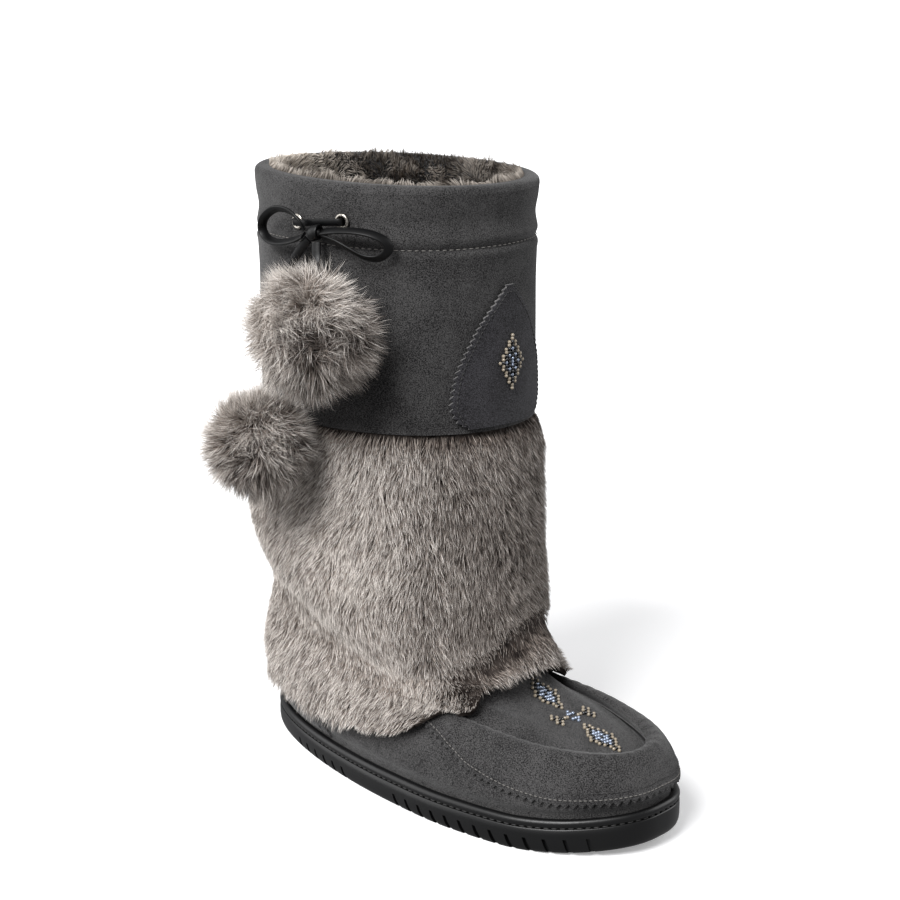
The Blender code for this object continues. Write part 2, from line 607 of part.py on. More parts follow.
def build_fur():
    phi = around()[None, :]
    low = edge_table(HEM_EDGE, phi)
    top = section_at(phi, COLLAR_H - CUFF_H - 2 * GAP)
    bend = float(ROW["fold"])

    def rows(steps, shaft_rows):
        below = [low + (bend - low) * k / steps for k in range(steps + 1)]
        above = [np.broadcast_to(float(v), low.shape) for v in shaft_rows]
        return np.concatenate(below + above + [top])

    v = rows(8, (11.6, 12.2, 12.9, 13.6, 14.3))
    height = upper_surface(phi, v)[..., 2]
    count = v.shape[0]
    share = np.linspace(0, 1, count)[:, None]
    thick = np.maximum(pile(phi, height), mix(FUR_HEM_T, 0.0, np.clip(share * 6, 0, 1)))
    strand = np.arange(AROUND)[None, :]
    row = np.arange(count)[:, None]
    lock = ((strand + 2 * row) % 4 < 2) * 1.0
    fade = np.clip((1 - share) * 5, 0, 1)
    under = upper_offset(phi, v, fur_gap(v))
    away = softened(upper_offset(phi, v, 1.0) - upper_offset(phi, v, 0.0))
    outer = under + away * (thick + LOCK_T * lock * fade)[..., None]
    outer[0, :, 2] -= HEM_DROP * (0.3 + 0.7 * lock[0])
    inner_v = rows(8, (12.0, 13.5))
    inner = upper_offset(phi, inner_v, fur_gap(inner_v))
    tube_shell("fur_shaft", outer, inner, "fur_shaft")


def cuff_surface(phi, height, out):
    v = section_at(phi, height)
    return upper_offset(phi, v, out)


def build_cuff():
    phi = around()
    bottom = COLLAR_H - CUFF_H
    rings = []
    for share, through, side, roll in zip(*CUFF.values()):
        out = GAP + share * CUFF_T - through * (WALL + 2 * GAP)
        height = COLLAR_H - LINER_DROP if side is None else bottom + side * CUFF_H
        at_top = side == 1.0
        base = upper_offset(phi, np.full(phi.shape, COLLAR_V), out) if at_top else (
            cuff_surface(phi, height, out))
        base = base + np.array([0, 0, roll * ROLL_T])
        rings.append(base)
    rings = np.array(rings)
    rows, cols = rings.shape[:2]
    faces = grid_faces(rows, cols)
    last = (rows - 1) * cols
    for c in range(cols):
        n = (c + 1) % cols
        faces.append([last + c, last + n, n, c])
    cuff = make_object("cuff", list(rings.reshape(-1, 3)), faces, "cuff")
    verts = []
    hole_faces = []
    for deg, up in EYELETS.values():
        seat, normal = eyelet_seat(deg, up)
        ring_of(seat - normal * 3.2 * MM, seat + normal * 3 * MM, EYELET_HOLE + 0.5 * MM, 12, verts,
                hole_faces)
    cut(cuff, "eyelet_cutter", verts, hole_faces)


def eyelet_seat(deg, up):
    """Point on the cuff's face and the direction out of it."""
    phi = np.array([math.radians(deg)])
    height = COLLAR_H + up * MM
    on_face = cuff_surface(phi, height, FACE_OUT)[0]
    deeper = cuff_surface(phi, height, 0.0)[0]
    normal = on_face - deeper
    return on_face, normal / np.linalg.norm(normal)


def side_vectors(normal):
    first = np.cross(normal, [0, 0, 1.0])
    first /= np.linalg.norm(first)
    return first, np.cross(normal, first)


def ring_of(low, high, radius, count, verts, faces):
    """Closed prism between two points."""
    a, b = side_vectors((high - low) / np.linalg.norm(high - low))
    start = len(verts)
    for centre in (low, high):
        for k in range(count):
            angle = 2 * math.pi * k / count
            verts.append(centre + (a * math.cos(angle) + b * math.sin(angle)) * radius)
    faces.append([start + k for k in range(count)])
    faces.append([start + count + k for k in range(count)][::-1])
    for k in range(count):
        n = (k + 1) % count
        faces.append([start + k, start + count + k, start + count + n, start + n])


def build_eyelets():
    """A turned ring on the cuff's face, with a short barrel into the hole."""
    profile = ((EYELET_HOLE, -1.6 * MM), (EYELET_HOLE + 0.35 * MM, -1.6 * MM),
               (EYELET_HOLE + 0.35 * MM, GAP), (EYELET_R, GAP), (EYELET_R, 0.6 * EYELET_T),
               (mix(EYELET_HOLE, EYELET_R, 0.55), EYELET_T + GAP), (EYELET_HOLE, 0.7 * EYELET_T))
    count = 12
    for name, (deg, up) in EYELETS.items():
        seat, normal = eyelet_seat(deg, up)
        a, b = side_vectors(normal)
        verts = []
        for k in range(count):
            angle = 2 * math.pi * k / count
            out = a * math.cos(angle) + b * math.sin(angle)
            for radius, rise in profile:
                verts.append(seat + out * radius + normal * rise)
        n = len(profile)
        faces = []
        for k in range(count):
            m = (k + 1) % count
            for j in range(n):
                i = (j + 1) % n
                faces.append([k * n + j, k * n + i, m * n + i, m * n + j])
        make_object(name, verts, faces, "eyelet")


def build_patch():
    """Suede patch on the front of the cuff, rows from its base to its point."""
    base = COLLAR_H - CUFF_H + 1.0 * MM
    cols = 7
    outer = []
    inner = []
    for up, half in zip(PATCH["up"], PATCH["half"]):
        height = base + up * PATCH_H
        across = np.linspace(-1, 1, cols) * half * PATCH_W / 2
        phi = np.arcsin(across / (SHAFT_W / 2 + 4 * MM))
        heights = np.full(cols, height)
        outer.append(cuff_surface(phi, heights, FACE_OUT + GAP + PATCH_T))
        inner.append(cuff_surface(phi, heights, FACE_OUT + GAP))
    sheet_shell("cuff_patch", np.array(outer), np.array(inner), "cuff_patch")


def from_collar(places):
    """Points of the boot from places in millimetres with heights from the collar's edge."""
    return np.array(places) * MM + np.array([0, 0, COLLAR_H])


def smooth_route(pts, spacing):
    """Points along a Catmull-Rom curve through a route, evenly spaced."""
    pts = np.vstack([2 * pts[0] - pts[1], pts, 2 * pts[-1] - pts[-2]])
    fine = []
    for k in range(1, len(pts) - 2):
        for t in np.linspace(0, 1, 16, endpoint=False):
            a, b, c, d = pts[k - 1:k + 3]
            fine.append(0.5 * (2 * b + (c - a) * t + (2 * a - 5 * b + 4 * c - d) * t**2
                               + (3 * b - a - 3 * c + d) * t**3))
    fine.append(pts[-2])
    fine = np.array(fine)
    run = np.concatenate([[0], np.cumsum(np.linalg.norm(np.diff(fine, axis=0), axis=1))])
    count = max(int(run[-1] / spacing), 2)
    at = np.linspace(0, run[-1], count + 1)
    return np.stack([np.interp(at, run, fine[:, k]) for k in range(3)], -1)


def bar_route():
    """The lace comes out of one eyelet and goes back in at the other."""
    ends = []
    for deg, up in EYELETS.values():
        seat, normal = eyelet_seat(deg, up)
        ends.append([seat + normal * rise for rise in (-1.5 * MM, 0.8 * MM, 3.2 * MM)])
    return np.array(ends[0] + list(from_collar(LACE_BAR)) + ends[1][::-1])


def build_lace(name, route):
    curve = bpy.data.curves.new(name, "CURVE")
    curve.dimensions = "3D"
    curve.bevel_depth = LACE_R
    curve.bevel_resolution = 2
    curve.use_fill_caps = True
    points = smooth_route(route, LACE_R * 2 * 2.6)
    spline = curve.splines.new("POLY")
    spline.points.add(len(points) - 1)
    for point, place in zip(spline.points, points):
        point.co = (*[float(c) for c in place], 1)
    obj = bpy.data.objects.new(name, curve)
    bpy.context.scene.collection.objects.link(obj)
    paint(obj, "lace")


def ball(subdivisions):
    bm = bmesh.new()
    bmesh.ops.create_icosphere(bm, subdivisions=subdivisions, radius=1.0)
    verts = [np.array(v.co) for v in bm.verts]
    faces = [[v.index for v in f.verts] for f in bm.faces]
    bm.free()
    return verts, faces


def build_knot():
    verts, faces = ball(2)
    centre = from_collar(KNOT)
    size = np.array(KNOT_SIZE) * MM
    make_object("lace_knot", [centre + v * size for v in verts], faces, "lace")


def clear_of_shaft(point, out):
    """Move a point straight out to a distance from the upper's wall, if it is nearer."""
    a = SHAFT_L / 2 + out
    b = SHAFT_W / 2 + out
    near = math.hypot(point[0] / a, point[1] / b)
    if near >= 1:
        return point
    return np.array([point[0] / near, point[1] / near, point[2]])


def build_pompom(name, centre, radius, out):
    """Ball of fur locks, pressed flat where it lies on the boot."""
    verts, faces = ball(3)
    middle = from_collar(centre)
    points = []
    for k, v in enumerate(verts):
        lock = 1.0 if k % 3 == 0 else 0.92
        points.append(clear_of_shaft(middle + v * radius * lock, out))
    make_object(name, points, faces, name)


def main():
    for obj in list(bpy.data.objects):
        bpy.data.objects.remove(obj)
    build_outsole()
    build_insole()
    build_upper()
    build_apron()
    build_counter()
    build_fur()
    build_cuff()
    build_patch()
    build_eyelets()
    build_lace("lace_bar", bar_route())
    build_lace("lace_loop_back", from_collar(LOOP_BACK))
    build_lace("lace_loop_front", from_collar(LOOP_FRONT))
    build_lace("lace_tail_front", from_collar(TAIL_FRONT))
    build_lace("lace_tail_back", from_collar(TAIL_BACK))
    build_knot()
    build_pompom("pompom_front", POMPOM_FRONT, POMPOM_FRONT_R, REST_ON_CUFF)
    build_pompom("pompom_back", POMPOM_BACK, POMPOM_BACK_R, REST_ON_FUR)


main()
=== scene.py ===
"""A right mukluk boot for a studio shot: suede moccasin foot, rabbit fur shaft and beaded cuff.

Metres, +Z up. The toe points along +X and the outer side of the foot is -Y.
"""
import math

import bmesh
import bpy
import numpy as np
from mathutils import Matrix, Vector
from mathutils.bvhtree import BVHTree


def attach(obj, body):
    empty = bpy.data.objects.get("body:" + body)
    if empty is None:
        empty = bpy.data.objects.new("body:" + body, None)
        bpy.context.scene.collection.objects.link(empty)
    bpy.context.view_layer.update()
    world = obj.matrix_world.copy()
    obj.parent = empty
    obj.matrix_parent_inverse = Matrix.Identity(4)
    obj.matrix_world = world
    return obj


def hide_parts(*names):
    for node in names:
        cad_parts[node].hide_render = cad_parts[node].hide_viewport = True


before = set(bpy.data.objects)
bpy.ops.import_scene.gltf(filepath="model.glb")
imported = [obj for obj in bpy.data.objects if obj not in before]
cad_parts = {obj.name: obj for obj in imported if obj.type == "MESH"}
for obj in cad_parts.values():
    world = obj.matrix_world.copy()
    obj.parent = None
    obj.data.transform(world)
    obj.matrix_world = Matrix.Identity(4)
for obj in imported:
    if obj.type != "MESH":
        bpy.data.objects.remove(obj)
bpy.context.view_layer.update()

MM = 0.001
GAP = 0.3 * MM
UP = np.array([0.0, 0.0, 1.0])

# Sizes of the boot, as in the part's source
SOLE_L, HEEL_BACK, BALL_W = 274 * MM, 89 * MM, 114 * MM
SIDE_HEEL, SIDE_TOE = 10 * MM, 13 * MM
TOE_SPRING, SPRING_L, ARCH_RISE = 6.5 * MM, 60 * MM, 2 * MM
BEAD_H, SEAT_H, SOLE_ROUND = 5.1 * MM, 2.3 * MM, 2.6
WALL, ANKLE_H, COLLAR_H = 3 * MM, 120 * MM, 318 * MM
SHAFT_L, SHAFT_W, RIM_TILT = 152 * MM, 121 * MM, 0.02
OVERLAY_T = 1.4 * MM
FUR_T, FUR_HEM_T = 10 * MM, 3 * MM
CUFF_H, CUFF_T, ROLL_T = 120 * MM, 2.7 * MM, 4.8 * MM
CUFF_BASE = COLLAR_H - CUFF_H
FACE_OUT = GAP + 1.17 * CUFF_T
PATCH_H, PATCH_W, PATCH_T = 74 * MM, 62 * MM, 1.6 * MM

OUTLINE = {
    "along": (0.00, 0.10, 0.20, 0.35, 0.50, 0.65, 0.78, 0.88, 1.00),
    "outer": (0.300, 0.360, 0.404, 0.456, 0.496, 0.518, 0.518, 0.491, 0.400),
    "inner": (0.330, 0.350, 0.358, 0.362, 0.390, 0.450, 0.488, 0.490, 0.440),
}

# Sections of the last, feather line to collar: ends, roundness, insets from the sole's outline,
# share of the shaft's oval, girth, heights at back, middle and front, and share of the seat
SECTIONS = (
    ("feather",  0.018, 0.982, 2.6, 0.044, 0.044, 0.044, 0.00, 1.00, 0.000, 0.000, 0.000, 1.0),
    ("bead",     0.018, 0.983, 2.6, 0.042, 0.042, 0.042, 0.00, 1.00, 0.033, 0.033, 0.033, 1.0),
    ("bulge",    0.012, 0.992, 2.6, 0.028, 0.023, 0.019, 0.00, 1.00, 0.090, 0.082, 0.068, 1.0),
    ("side",     0.014, 0.988, 2.6, 0.033, 0.030, 0.026, 0.00, 1.00, 0.220, 0.188, 0.145, 0.8),
    ("shoulder", 0.018, 0.975, 2.6, 0.044, 0.055, 0.057, 0.00, 1.00, 0.357, 0.300, 0.250, 0.6),
    ("ridge",    0.022, 0.957, 2.5, 0.053, 0.100, 0.114, 0.00, 1.00, 0.493, 0.405, 0.325, 0.4),
    ("plug",     0.025, 0.936, 2.5, 0.061, 0.120, 0.162, 0.00, 1.00, 0.627, 0.440, 0.292, 0.4),
    ("vamp",     0.029, 0.895, 2.4, 0.070, 0.130, 0.237, 0.02, 1.00, 0.760, 0.505, 0.325, 0.3),
    ("instep",   0.033, 0.815, 2.4, 0.079, 0.125, 0.290, 0.10, 1.00, 0.885, 0.600, 0.368, 0.3),
    ("throat",   0.037, 0.735, 2.3, 0.088, 0.110, 0.300, 0.30, 1.00, 0.990, 0.705, 0.425, 0.2),
    ("tongue",   0.040, 0.690, 2.2, 0.088, 0.079, 0.290, 0.55, 1.04, 1.070, 0.810, 0.520, 0.1),
    ("fold",     0.040, 0.655, 2.2, 0.088, 0.079, 0.260, 0.85, 1.06, 1.140, 0.930, 0.660, 0.0),
    ("ankle",    0.040, 0.640, 2.1, 0.088, 0.079, 0.260, 1.00, 1.04, 1.200, 1.050, 0.860, 0.0),
    ("calf",     0.040, 0.640, 2.1, 0.088, 0.079, 0.260, 1.00, 1.00, 1.280, 1.180, 1.060, 0.0),
    ("shaft",    0.040, 0.640, 2.1, 0.088, 0.079, 0.260, 1.00, 0.99, 1.340, 1.290, 1.240, 0.0),
    ("band",     0.040, 0.640, 2.1, 0.088, 0.079, 0.260, 1.00, 1.00, 1.400, 1.400, 1.400, 0.0),
    ("collar",   0.040, 0.640, 2.1, 0.088, 0.079, 0.260, 1.00, 1.00, 2.000, 2.000, 2.000, 0.0),
)
COLUMNS = ("back", "front", "round", "in_b", "in_m", "in_f", "shaft", "girth",
           "z_b", "z_m", "z_f", "seat")
ROW = {row[0]: float(k) for k, row in enumerate(SECTIONS)}
COLLAR_V = ROW["collar"]

APRON_EDGE = {"deg": (0, 11, 39, 51, 65, 70, 79, 86),
              "row": (2.05, 2.0, 2.1, 2.5, 3.1, 3.6, 4.3, 4.6)}
APRON_REACH = 84
COUNTER_SEAM = (115, 121)
COUNTER_TOP = 3.6
PILE = {"up": (0.00, 0.20, 0.29, 0.40, 0.50, 0.62, 0.80, 0.93, 1.00),
        "back": (0.10, 0.25, 0.70, 0.30, 0.10, 0.12, 0.10, 0.25, 0.22),
        "front": (0.20, 0.30, 0.60, 0.25, 0.20, 0.55, 0.80, 0.75, 0.25)}
PATCH = {"up": (0.02, 0.07, 0.18, 0.36, 0.58, 0.73, 0.88, 0.96, 1.00),
         "half": (0.72, 0.90, 1.00, 0.95, 0.75, 0.56, 0.28, 0.12, 0.03)}
CUFF = {
    "out": (0.0, 1.0, 1.04, 1.0, 1.19, 0.89, 1.15, 0.85, 1.30, 1.52, 1.26, 0.37, -0.26, -0.63, -0.93,
            -0.78, -0.78),
    "through": (0.0, 0.0, 0.0, 0.0, 0.0, 0.0, 0.0, 0.0, 0.0, 0.0, 0.0, 0.0, 0.5, 1.0, 1.0, 1.0, 1.0),
    "side": (0.0, 0.0, 0.30, 0.58, 0.74, 0.78, 0.82, 0.88, 0.95, 1.0, 1.0, 1.0, 1.0, 1.0, 1.0, 0.93,
             0.85),
    "roll": (0.0, 0.0, 0.0, 0.0, 0.0, 0.0, 0.0, 0.0, 0.0, 0.15, 0.70, 1.0, 1.0, 0.70, 0.10, 0.0, 0.0),
}
EYELETS = {"eyelet_back": (-93.4, -16.8), "eyelet_front": (-71.6, -14.4)}

# Routes of the flat lace, in millimetres with heights from the collar's edge, as in the part's source
LACE_BAR = ((3.0, -68.6, -16.4), (8.0, -68.9, -15.8), (13.5, -68.4, -15.2))
LOOP_BACK = ((8.0, -71.5, -19.1), (6.0, -73.2, -14.4), (-1.5, -73.2, -10.4), (-12.9, -72.0, -10.6),
             (-24.0, -69.4, -16.0), (-28.0, -67.6, -22.4), (-23.0, -68.2, -27.0),
             (-12.3, -70.2, -27.4), (0.5, -71.6, -24.8), (7.4, -71.4, -21.8))
LOOP_FRONT = ((19.7, -70.2, -19.1), (29.6, -69.2, -17.6), (39.2, -66.4, -17.2), (47.2, -62.7, -18.4),
              (52.6, -58.8, -21.7), (53.1, -57.6, -26.2), (48.0, -59.6, -30.3), (41.5, -62.6, -30.1),
              (34.8, -66.0, -26.8), (28.2, -68.3, -23.7), (19.7, -70.0, -21.4))
TAIL_FRONT = ((15.9, -70.6, -24.6), (16.6, -71.4, -28.4), (17.4, -72.0, -31.4), (18.5, -73.2, -34.4),
              (19.4, -74.7, -36.4), (20.8, -77.0, -43.0), (23.0, -80.4, -52.0), (25.0, -83.0, -60.0))
TAIL_BACK = ((9.6, -70.4, -23.8), (5.8, -70.6, -27.6), (0.4, -70.6, -33.6), (-4.8, -70.2, -41.6),
             (-9.6, -69.4, -52.0), (-13.4, -68.8, -64.0), (-15.2, -69.2, -76.0), (-14.6, -71.4, -87.0),
             (-12.2, -75.6, -95.6), (-9.0, -81.4, -101.9), (-7.4, -86.6, -112.0), (-6.4, -91.0, -121.0))
KNOT = (14.0, -70.5, -19.9)
POMPOM_FRONT, POMPOM_FRONT_R = (26.0, -84.3, -65.7), 31 * MM
POMPOM_BACK, POMPOM_BACK_R = (-6.0, -92.8, -126.2), 26 * MM

# Hair in the three places where it grows: its width, coarser than the real 0.05 to 0.1 mm, or the hairs
# that fit the limit on triangles would not cover the skin
POMPOM_HAIR_W, SHAFT_HAIR_W, LINING_HAIR_W = 0.36 * MM, 0.34 * MM, 0.42 * MM
POMPOM_FRONT_HAIRS, POMPOM_BACK_HAIRS, LINING_HAIRS = 34000, 27000, 41000

# The camera fitted to the photo
CAMERA_AT = (0.7185, -0.7086, 0.4345)
CAMERA_AIM = (-0.6696, 0.6986, -0.2521)
CAMERA_LENS = 77.37


def smooth_table(xs, ys, x):
    """Monotone cubic through a table, with no overshoot between its rows."""
    xs = np.asarray(xs, float)
    ys = np.asarray(ys, float)
    x = np.clip(np.asarray(x, float), xs[0], xs[-1])
    step = np.diff(xs)
    slope = np.diff(ys) / step
    tangent = np.zeros_like(ys)
    tangent[0] = slope[0]
    tangent[-1] = slope[-1]
    for k in range(1, len(ys) - 1):
        if slope[k - 1] * slope[k] > 0:
            tangent[k] = 2 / (1 / slope[k - 1] + 1 / slope[k])
    k = np.clip(np.searchsorted(xs, x, side="right") - 1, 0, len(step) - 1)
    t = (x - xs[k]) / step[k]
    h = step[k]
    return ((2 * t**3 - 3 * t**2 + 1) * ys[k] + (t**3 - 2 * t**2 + t) * h * tangent[k]
            + (3 * t**2 - 2 * t**3) * ys[k + 1] + (t**3 - t**2) * h * tangent[k + 1])


def three_point(back, middle, front, t):
    """Curve through the values at the back, middle and front of the foot."""
    return back * (1 - t) * (1 - 2 * t) + middle * 4 * t * (1 - t) + front * t * (2 * t - 1)


def mix(a, b, share):
    return a + (b - a) * share


def bump(x, middle, width):
    """Soft hill of height 1."""
    return np.exp(-((x - middle) / width) ** 2)


def sole_share(x):
    return np.clip((x + HEEL_BACK) / SOLE_L, 0, 1)


def sole_half(x, inner):
    share = sole_share(x)
    return np.where(inner, smooth_table(OUTLINE["along"], OUTLINE["inner"], share),
                    smooth_table(OUTLINE["along"], OUTLINE["outer"], share)) * BALL_W


def toe_rise(x):
    start = SOLE_L - HEEL_BACK - SPRING_L
    return TOE_SPRING * np.clip((x - start) / SPRING_L, 0, 1.1) ** 2


def side_height(x):
    return mix(SIDE_HEEL, SIDE_TOE, sole_share(x))


def seat_height(x):
    return toe_rise(x) + side_height(x) + SEAT_H


def oval(phi, roundness):
    """Cosine and sine of an oval that is squarer than a circle above 2."""
    c = np.cos(phi)
    s = (1 - np.minimum(np.abs(c), 1) ** roundness) ** (1 / roundness)
    return c, s * np.sign(np.sin(phi))


def level(v):
    """Height of a share: 1 is the ankle and 2 the collar."""
    return np.where(v < 1, v * ANKLE_H, ANKLE_H + (v - 1) * (COLLAR_H - ANKLE_H))


def spread(*values):
    """Numbers or arrays as arrays of one shape."""
    return np.broadcast_arrays(*(np.asarray(value, float) for value in values))


def upper_surface(phi, v):
    """Outside of the upper. phi is the angle from the toe, v the section."""
    phi, v = spread(phi, v)
    rows = np.arange(len(SECTIONS))
    col = {}
    for k, name in enumerate(COLUMNS):
        col[name] = smooth_table(rows, [row[k + 1] for row in SECTIONS], v)
    c, s = oval(phi, col["round"])
    shaft_half = SHAFT_L / 2 * col["girth"]
    back = mix(col["back"] * SOLE_L - HEEL_BACK, -shaft_half, col["shaft"])
    front = mix(col["front"] * SOLE_L - HEEL_BACK, shaft_half, col["shaft"])
    x = (back + front) / 2 + (front - back) / 2 * c
    t = (1 + c) / 2
    inset = three_point(col["in_b"], col["in_m"], col["in_f"], t) * BALL_W
    foot_half = sole_half(x, s > 0) - inset
    half = mix(foot_half, SHAFT_W / 2 * col["girth"], col["shaft"])
    share = three_point(col["z_b"], col["z_m"], col["z_f"], t)
    z = col["seat"] * seat_height(x) + GAP + level(share)
    z = z - RIM_TILT * x * np.clip(share - 1, 0, 1)
    return np.stack([x, half * s, z], -1)


def upper_normal(phi, v):
    phi, v = spread(phi, v)
    low = np.clip(v - 0.12, 0, COLLAR_V)
    high = np.clip(v + 0.12, 0, COLLAR_V)
    along = upper_surface(phi + 0.03, v) - upper_surface(phi - 0.03, v)
    up = upper_surface(phi, high) - upper_surface(phi, low)
    return unit(np.cross(along, up))


def upper_offset(phi, v, out):
    phi, v, out = spread(phi, v, out)
    return upper_surface(phi, v) + upper_normal(phi, v) * out[..., None]


def section_at(phi, height):
    """The section where the surface reaches a height on the shaft."""
    phi, height = spread(phi, height)
    low = np.full(phi.shape, ROW["tongue"])
    high = np.full(phi.shape, COLLAR_V)
    for _ in range(26):
        middle = (low + high) / 2
        below = upper_surface(phi, middle)[..., 2] < height
        low = np.where(below, middle, low)
        high = np.where(below, high, middle)
    return (low + high) / 2


def around(count):
    return np.arange(count) * 2 * math.pi / count


def degrees_of(phi):
    """Angle from the toe, from -180 to 180; the outer side is below 0."""
    return np.degrees(np.angle(np.exp(1j * phi)))


def forefoot(phi):
    """1 over the toe and the vamp, 0 behind them."""
    return np.clip((95 - np.abs(degrees_of(phi))) / 25, 0, 1)


def grid_faces(rows, cols, closed=True, start=0):
    r = np.arange(rows - 1)[:, None]
    c = np.arange(cols if closed else cols - 1)[None, :]
    n = (c + 1) % cols
    quads = np.stack([r * cols + c, r * cols + n, (r + 1) * cols + n, (r + 1) * cols + c], -1)
    return (quads.reshape(-1, 4) + start).tolist()


def tube_faces(rows, cols):
    """Rings joined into a tube with both ends closed."""
    return grid_faces(rows, cols) + [list(range(cols))[::-1], list(range((rows - 1) * cols, rows * cols))]


def add_piece(name, verts, faces, material, sharp=35):
    """A smooth mesh piece on the boot's one body."""
    mesh = bpy.data.meshes.new(name)
    mesh.from_pydata(np.asarray(verts, float).reshape(-1, 3).tolist(), [], faces)
    mesh.update()
    piece = bpy.data.objects.new(name, mesh)
    bpy.context.scene.collection.objects.link(piece)
    mesh.materials.append(material)
    mesh.shade_smooth()
    if sharp:
        mesh.set_sharp_from_angle(angle=math.radians(sharp))
    return piece


def set_field(piece, name, values):
    """One number a vertex, for the material."""
    values = np.asarray(values, float).reshape(-1)
    field = np.zeros(len(piece.data.vertices))
    field[:values.size] = values
    piece.data.attributes.new(name, "FLOAT", "POINT").data.foreach_set("value", field)


def faces_out(piece):
    bm = bmesh.new()
    bm.from_mesh(piece.data)
    bmesh.ops.recalc_face_normals(bm, faces=bm.faces)
    bm.to_mesh(piece.data)
    bm.free()


def shell(name, outer, inner, material, closed=True, sharp=35, edge=None):
    """Leather between two grids of the same size, with its edges in their own material if given."""
    rows, cols = outer.shape[:2]
    start = rows * cols
    faces = grid_faces(rows, cols, closed)
    faces += [f[::-1] for f in grid_faces(rows, cols, closed, start)]
    last = (rows - 1) * cols
    for c in range(cols if closed else cols - 1):
        n = (c + 1) % cols
        faces.append([n, c, start + c, start + n])
        faces.append([last + c, last + n, start + last + n, start + last + c])
    if not closed:
        for r in range(rows - 1):
            left = r * cols
            right = left + cols - 1
            faces.append([left, left + cols, start + left + cols, start + left])
            faces.append([right + cols, right, start + right, start + right + cols])
    piece = add_piece(name, np.concatenate([outer.reshape(-1, 3), inner.reshape(-1, 3)]), faces,
                      material, sharp)
    if edge:
        piece.data.materials.append(edge)
        flat = 2 * (rows - 1) * (cols if closed else cols - 1)
        piece.data.polygons.foreach_set("material_index", (np.arange(len(faces)) >= flat).astype(np.int32))
    return piece


def cloud(points, scale, seed):
    """Smooth noise from -1 to 1 at a real scale in metres."""
    rng = np.random.default_rng(seed)
    size = 24
    lattice = rng.uniform(-1, 1, (size, size, size))
    p = np.asarray(points) / scale + 64
    base = np.floor(p).astype(int)
    t = p - base
    t = t * t * (3 - 2 * t)
    total = 0
    for dx in (0, 1):
        for dy in (0, 1):
            for dz in (0, 1):
                weight = ((t[..., 0] if dx else 1 - t[..., 0]) * (t[..., 1] if dy else 1 - t[..., 1])
                          * (t[..., 2] if dz else 1 - t[..., 2]))
                total = total + weight * lattice[(base[..., 0] + dx) % size, (base[..., 1] + dy) % size,
                                                 (base[..., 2] + dz) % size]
    return total


def drift(points, scale, first_seed):
    """Smooth noise for each of the three directions."""
    return np.stack([cloud(points, scale, first_seed + k) for k in range(3)], -1)


def unit(vectors):
    return vectors / np.maximum(np.linalg.norm(vectors, axis=-1, keepdims=True), 1e-12)


def from_collar(places):
    """Points of the boot from places in millimetres with heights from the collar's edge."""
    return np.array(places, float) * MM + np.array([0, 0, COLLAR_H])


def smooth_route(pts, count):
    """Evenly spaced points on a Catmull-Rom curve through a route, and the curve's length."""
    pts = np.vstack([2 * pts[0] - pts[1], pts, 2 * pts[-1] - pts[-2]])
    fine = []
    for k in range(1, len(pts) - 2):
        for t in np.linspace(0, 1, 24, endpoint=False):
            a, b, c, d = pts[k - 1:k + 3]
            fine.append(0.5 * (2 * b + (c - a) * t + (2 * a - 5 * b + 4 * c - d) * t**2
                               + (3 * b - a - 3 * c + d) * t**3))
    fine = np.array(fine + [pts[-2]])
    run = run_of(fine)
    at = np.linspace(0, run[-1], count)
    return np.stack([np.interp(at, run, fine[:, k]) for k in range(3)], -1), run[-1]


def linear(text):
    """sRGB hex to linear colour."""
    values = [int(text[k:k + 2], 16) / 255 for k in (1, 3, 5)]
    return tuple(v / 12.92 if v <= 0.04045 else ((v + 0.055) / 1.055) ** 2.4 for v in values) + (1.0,)


def add_node(tree, kind, settings=None, inputs=None, stops=None, out=0, to=None):
    """One node with its settings, values, links and colour stops, led to a socket if given."""
    made = tree.nodes.new(kind)
    for key, value in (settings or {}).items():
        setattr(made, key, value)
    for key, value in (inputs or {}).items():
        if isinstance(value, bpy.types.NodeSocket):
            tree.links.new(value, made.inputs[key])
        else:
            made.inputs[key].default_value = value
    if stops:
        elements = made.color_ramp.elements
        elements.remove(elements[1])
        elements[0].position = stops[0][0]
        elements[0].color = linear(stops[0][1])
        for place, colour in stops[1:]:
            elements.new(place).color = linear(colour)
    if to:
        tree.links.new(made.outputs[out], to)
    return made.outputs[out]


def new_material(name, colour="#808080", **surface):
    """A material with its plain values; returns it with its tree, its shader and the boot's space."""
    material = bpy.data.materials.new(name)
    material.use_nodes = True
    tree = material.node_tree
    shader = tree.nodes["Principled BSDF"]
    shader.inputs["Base Color"].default_value = linear(colour)
    for key, value in surface.items():
        shader.inputs[key.replace("_", " ")].default_value = value
    return material, tree, shader, add_node(tree, "ShaderNodeTexCoord", out="Object")


